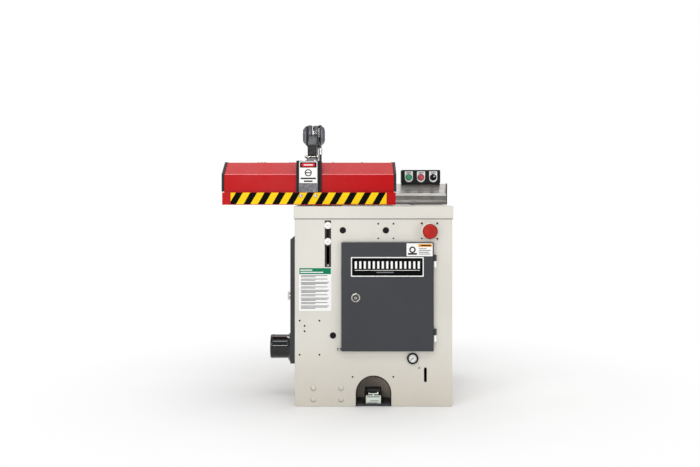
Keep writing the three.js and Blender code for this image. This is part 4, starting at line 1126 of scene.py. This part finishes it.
def overarm():
    """The clamp head on the column, with a curved neck down to the bracket."""
    x, y, _ = middle("column")
    top = at("overarm")[1].z - 0.3
    form = Form("overarm_finished")
    adopt(form, clamp_head(x, y, HEAD_BOTTOM, top), bevel=1.8, segments=3)
    side = [
        *arc(60, 1088, 10, 180, 270, 4), (88, 1078), (150, 1098), (216, 1130), (256, 1150), (256, 1196),
        (216, 1192), (160, 1176), (110, 1156), *arc(62, 1126, 12, 90, 180, 4),
    ]
    # The neck is the same casting as the head, in a far darker copy of its paint: painted shade.
    form.prism(side, "x", x - 20.5, x + 20.5, bevel=4, segments=4, ink=1)
    form.place(CASTING, SHADED_NECK, node="overarm")
    # Near-white strips set in the two slits of the head: painted highlights along the casting's edges.
    faces = Form("clamp_slit_highlights")
    faces.box((x - 6.8, x - 3.2), (y - 52, y - 30), (top - 54, top - 7), bevel=0.4)
    faces.box((x + 25.2, x + 28.2), (y - 45, y - 30), (top - 60, top - 14), bevel=0.4)
    faces.place(SHEEN_WHITE, body="hold_down")
    foot = Form("overarm_foot")
    foot.prism(rounded(x - 33, x + 33, 40, 106, 6), "z", 1070.2, 1074, bevel=1.2)
    foot.prism(rounded(x - 25, x + 25, 48, 98, 6), "z", 1045.4, 1070.2, bevel=1.6)
    foot.place(PEBBLE, body="hold_down")
    plate = Form("overarm_foot_plate")
    plate.prism(rounded(x - 35, x + 35, 38, 108, 5), "z", 1074, 1078.2, bevel=0.8)
    plate.place(NICKEL, body="hold_down")
    bolts = Form("overarm_bolts")
    hex_heads(bolts, [(x - 53.2, y - 8, top - 36)], 13, 6, "-x")
    hex_heads(bolts, [(*spot, 1078) for spot in corners((x - 28, x + 28), (45, 101))], 7, 4, "z", washer=5.5)
    hex_heads(bolts, [(x - 2, y - 46, top - 66)], 9, 5, washer=6.5)
    bolts.place(NICKEL, body="hold_down")


def column():
    """The column and its two rods, with the wiper and the bush on the table."""
    for node, material, bevel in (("column", CHROME, 2), ("clamp_rod", CHROME, 1), ("guide_rod", TURNED, 1)):
        (x0, y0, z0), (x1, y1, z1) = at(node)
        centre = ((x0 + x1) / 2, (y0 + y1) / 2, 0)
        form = Form(node + "_finished")
        form.disc((x1 - x0) / 2, centre, "z", z0, z1, steps=64, bevel=bevel).place(material, node=node)
    refine("column_guide", IRON, 1.5)
    refine("clamp_cylinder", ALUMINIUM, 1.0)
    x, y, _ = middle("column")
    wiper = Form("column_wiper")
    wiper.ring(22.4, 33, (x, y, TABLE_TOP), "z", 0.2, 7, steps=56, bevel=1.2).place(RUBBER)
    x, y, _ = middle("guide_rod")
    bush = Form("guide_rod_bush")
    bush.ring(7.5, 13, (x, y, TABLE_TOP), "z", 0.2, 9, steps=40, bevel=1.0).place(ALUMINIUM)


# ---- Foot pedal ----

PEDAL_TOP = 44
HINGE_Y, HINGE_Z = at("pedal_base")[1].y - 11, 56


def pedal():
    """A cast box with sloping cheeks and hinge ears, under a pale front cover with plain bars."""
    (x0, y0, z0), (x1, y1, _) = at("pedal_base")
    top = PEDAL_TOP
    base = Form("pedal_base_finished")
    front = [(x0, z0), (x1, z0), (x1, top - 3), (x1 - 3, top), (x0 + 3, top), (x0, top - 3)]
    base.prism(front, "y", y0, y1, bevel=1.0)
    base.prism(rounded(x0 - 5, x1 + 5, y0 + 6, y1 - 2, 6), "z", z0, z0 + 3.5, bevel=0.8)
    ear = [(HINGE_Y - 7, 40), (HINGE_Y + 7, 40), *arc(HINGE_Y, HINGE_Z, 7, 0, 180, 12)]
    for side in (-1, 1):
        cheek = [(side * 28.4, top - 2), (side * 35, top - 2), (side * 29.6, 65), (side * 28.4, 65)]
        base.prism(cheek, "y", y0 + 3, y1 - 14, bevel=0.5)
        base.prism(ear, "x", side * 34, side * 28.4, bevel=0.7)
    base.disc(3.4, (0, HINGE_Y, HINGE_Z), "x", -29, 29, steps=24)
    base.place(PLUG, node="pedal_base")
    cover = Form("pedal_front_cover")
    cover.prism(rounded(-31.8, 31.8, 4.5, 42, 2.5), "y", y0 - 1.6, y0 - 0.1, bevel=0.6, segments=3)
    for xs, zs in (((-27, 27), (34.5, 38.5)), ((-25, 18), (9, 12)), ((-14, 22), (18, 20.5))):
        cover.box(xs, (y0 - 2.3, y0 - 1.4), zs, ink=1, bevel=0.2)
    cover.place(SAGE, INK)
    lip = Form("pedal_lip")
    trim = [(-21.5, 47), (21.5, 47), (21.5, 56.5), (16.5, 56.5), (13.5, 51.5), (-17, 51.5), (-18.5, 54),
            (-21.5, 54)]
    lip.prism(trim, "y", y0 - 1.2, y0 + 0.6, bevel=0.3)
    lip.box((-3, 3), (y0 - 0.6, y0 + 0.6), (top - 4, 47.5))
    lip.place(SAGE)


def treadle():
    """The black pad between the cheeks, with ribs across it."""
    front = at("pedal_treadle")[0].y + 2.2
    pad = Form("pedal_treadle_finished")
    side = [(front, 57.8), (HINGE_Y - 6, 52.5), *arc(HINGE_Y, HINGE_Z, 5.6, 215, 440, 12), (front + 9, 69.5),
            (front + 2, 67.5)]
    pad.prism(side, "x", -27.5, 27.5, bevel=1.0)
    for i in range(7):
        y, z = front + 14 + i * 7.5, 68.4 - i * 1.05
        pad.box((-24, 24), (y, y + 2.6), (z - 3, z + 2.0), bevel=0.5)
    pad.place(RUBBER, node="pedal_treadle")


def arch_trim():
    """A thin rubber edging round the foot opening."""
    radius, spring, wide = 75.5, 55, 3.6
    outer, inner = ([(r, 1.0), *arc(0, spring, r, 0, 180, 36), (-r, 1.0)] for r in (radius, radius - wide))
    form = Form("foot_arch_trim")
    form.prism(outer + inner[::-1], "y", FRONT - 1.0, FRONT + 6).place(PLUG, slot="black_rubber")


# ---- Inside the cabinet ----


def mechanism():
    for node in ("saw_frame", "pivot_bearing_left", "pivot_bearing_right"):
        refine(node, IRON, 1.2)
    refine("motor_body", MOTOR, 1.2)
    motor_fittings()
    refine("cylinder_stand", CHARCOAL, 1.0)
    refine("lift_cylinder", ALUMINIUM, 1.0)
    for node, material in (
        ("drive_belt", RUBBER), ("arbor_shaft", TURNED), ("saw_blade", BLADE), ("blade_flange", TURNED),
        ("arbor_nut", TURNED), ("arbor_pulley", IRON), ("motor_shaft", TURNED), ("motor_pulley", IRON),
        ("pivot_shaft", TURNED), ("lift_rod", CHROME),
    ):
        refine(node, material, 0.4)


def motor_fittings():
    """Cooling fins along the motor, its fan cowl and a plate of plain bars."""
    x0, x1 = (corner.x for corner in at("motor_body"))
    _, y, z = middle("motor_shaft")
    body = BODY_OF["motor_body"]
    fins = Form("motor_fins")
    for turn in full_turn(36):
        along = Vector((cos(turn), sin(turn)))
        if along.y > 0.62:
            continue
        across = Vector((-along.y, along.x)) * 1.3
        root, crest = along * 92, along * 98.4
        fin = [root + across, root - across, crest - across * 0.7, crest + across * 0.7]
        fins.prism([(y + p.x, z + p.y) for p in fin], "x", x0 + 34, x1 - 62)
    fins.place(MOTOR, body=body)
    cowl = Form("motor_cowl")
    cowl.ring(93, 98, (x1 - 56, y, z), "x", 0, 50, steps=64, bevel=1.5)
    for radius in (24, 40, 56, 72):
        cowl.ring(radius, radius + 3, (x1, y, z), "x", -1, 1.2, steps=48, bevel=0.3)
    for turn in full_turn(4):
        bolt = (x1 - 12, y + 98 * cos(turn + pi / 4), z + 98 * sin(turn + pi / 4))
        cowl.disc(4, bolt, "x", -3, 3, steps=12, bevel=0.4)
    cowl.place(CHARCOAL, body=body, slot="motor_paint")
    plate = Form("motor_rating_plate")
    plate.box((x0 + 70, x0 + 130), (y - 100.6, y - 99.4), (z - 17, z + 17), bevel=0.3)
    for step in range(0, 28, 7):
        plate.box((x0 + 75, x0 + 120 - step), (y - 100.9, y - 100.4), (z + 8 - step, z + 10.5 - step), ink=1)
    plate.box((x0 + 72, x0 + 128), (y - 99.6, y - 94), (z - 12, z + 12))
    plate.place(ALUMINIUM, INK, body=body)


# ---- Studio ----

LIGHTS = (  # name, size, place, target and watts
    ("overhead", (3.4, 3.4), (-0.1, 1.0, 3.5), (-0.1, 0.1, 0.4), 46),
    ("key", (1.2, 2.0), (-2.2, -3.0, 1.7), (0, 0, 0.5), 19),
    ("fill", (0.9, 2.0), (2.7, -2.6, 1.3), (0, 0, 0.4), 18),
    ("front_window", (0.9, 0.36), (-0.75, -4.25, 1.36), (-0.2, 0, 0.5), 15),
    ("high_strip", (2.6, 0.5), (-0.4, -2.6, 4.2), (-0.2, -0.2, 0.4), 34),
)


def area(name, size, place, target, watts):
    lamp = bpy.data.lights.new(name, "AREA")
    lamp.shape = "RECTANGLE"
    lamp.size, lamp.size_y = size
    lamp.energy = watts
    holder = show(name, lamp)
    holder.location = place
    aim = Vector(target) - Vector(place)
    holder.rotation_euler = aim.to_track_quat("-Z", "Y").to_euler()


def floor_paint():
    """Matt white that fades into the bright surround, so that no horizon shows."""
    s = Shader("floor_paint", specular=0.1)
    s.put("Base Color", s.mix(s.clouds(2.0, 3.0, 0.3, 0.7), srgb(246, 246, 246), srgb(250, 250, 250)))
    s.put("Roughness", 0.9)
    position = s.add("NewGeometry").outputs["Position"]
    reach = s.add("VectorMath", {0: position}, operation="LENGTH").outputs["Value"]
    far = s.add("MapRange", {"Value": reach, "From Min": 0.35, "From Max": 1.7},
                interpolation_type="SMOOTHSTEP").outputs[0]
    glow = s.add("Emission", {"Color": (1, 1, 1), "Strength": 1.0}).outputs[0]
    both = s.add("MixShader", {0: far, 1: s.surface.outputs[0], 2: glow}).outputs[0]
    s.wire(s.nodes["Material Output"], "Surface", both)
    return s.done()


def surround(low, high, seen):
    """A white surround that dims from overhead to the horizon, and plain white to the camera."""
    world = bpy.data.worlds.new("studio")
    world.use_nodes = True
    w = Nodes(world.node_tree)
    up = w.add("SeparateXYZ", {0: w.add("TexCoord").outputs["Generated"]}).outputs[2]
    rise = w.add("MapRange", {"Value": up, "To Min": low, "To Max": high},
                 interpolation_type="SMOOTHSTEP").outputs[0]
    ray = w.add("LightPath").outputs["Is Camera Ray"]
    level = w.add("Mix", {"Factor": ray, "A": rise, "B": seen}).outputs["Result"]
    w.wire(w.nodes["Background"], "Color", (1, 1, 1))
    w.wire(w.nodes["Background"], "Strength", level)
    bpy.context.scene.world = world


def studio():
    """A pale floor under soft, even light."""
    mesh = bpy.data.meshes.new("floor")
    reach = 40.0
    mesh.from_pydata([(-reach, -reach, 0), (reach, -reach, 0), (reach, reach, 0), (-reach, reach, 0)], [],
                     [(0, 1, 2, 3)])
    mesh.materials.append(floor_paint())
    floor = show("floor", mesh)
    floor.location.z = -0.001
    surround(0.3, 0.66, 1.0)
    for light in LIGHTS:
        area(*light)
    bpy.context.scene.view_settings.view_transform = "Standard"


def camera():
    data = bpy.data.cameras.new("camera")
    data.sensor_width = 36
    data.lens = 43.56
    data.shift_y = -0.0617
    holder = show("camera", data)
    holder.location = (-0.1, -3.95, 0.918)
    holder.rotation_euler = (radians(90), 0, 0)
    bpy.context.scene.camera = holder


cabinet()
lip_shadow_strip()
front_plugs()
cabinet_fasteners()
wear_plate()
rear_fittings()
side_fittings()
fences()
control_station()
control_cable()
palm_stop()
gauge()
stroke_slot()
placards()
front_door()
side_door()
guard()
bracket()
hose()
overarm()
column()
pedal()
treadle()
arch_trim()
mechanism()
studio()
camera()
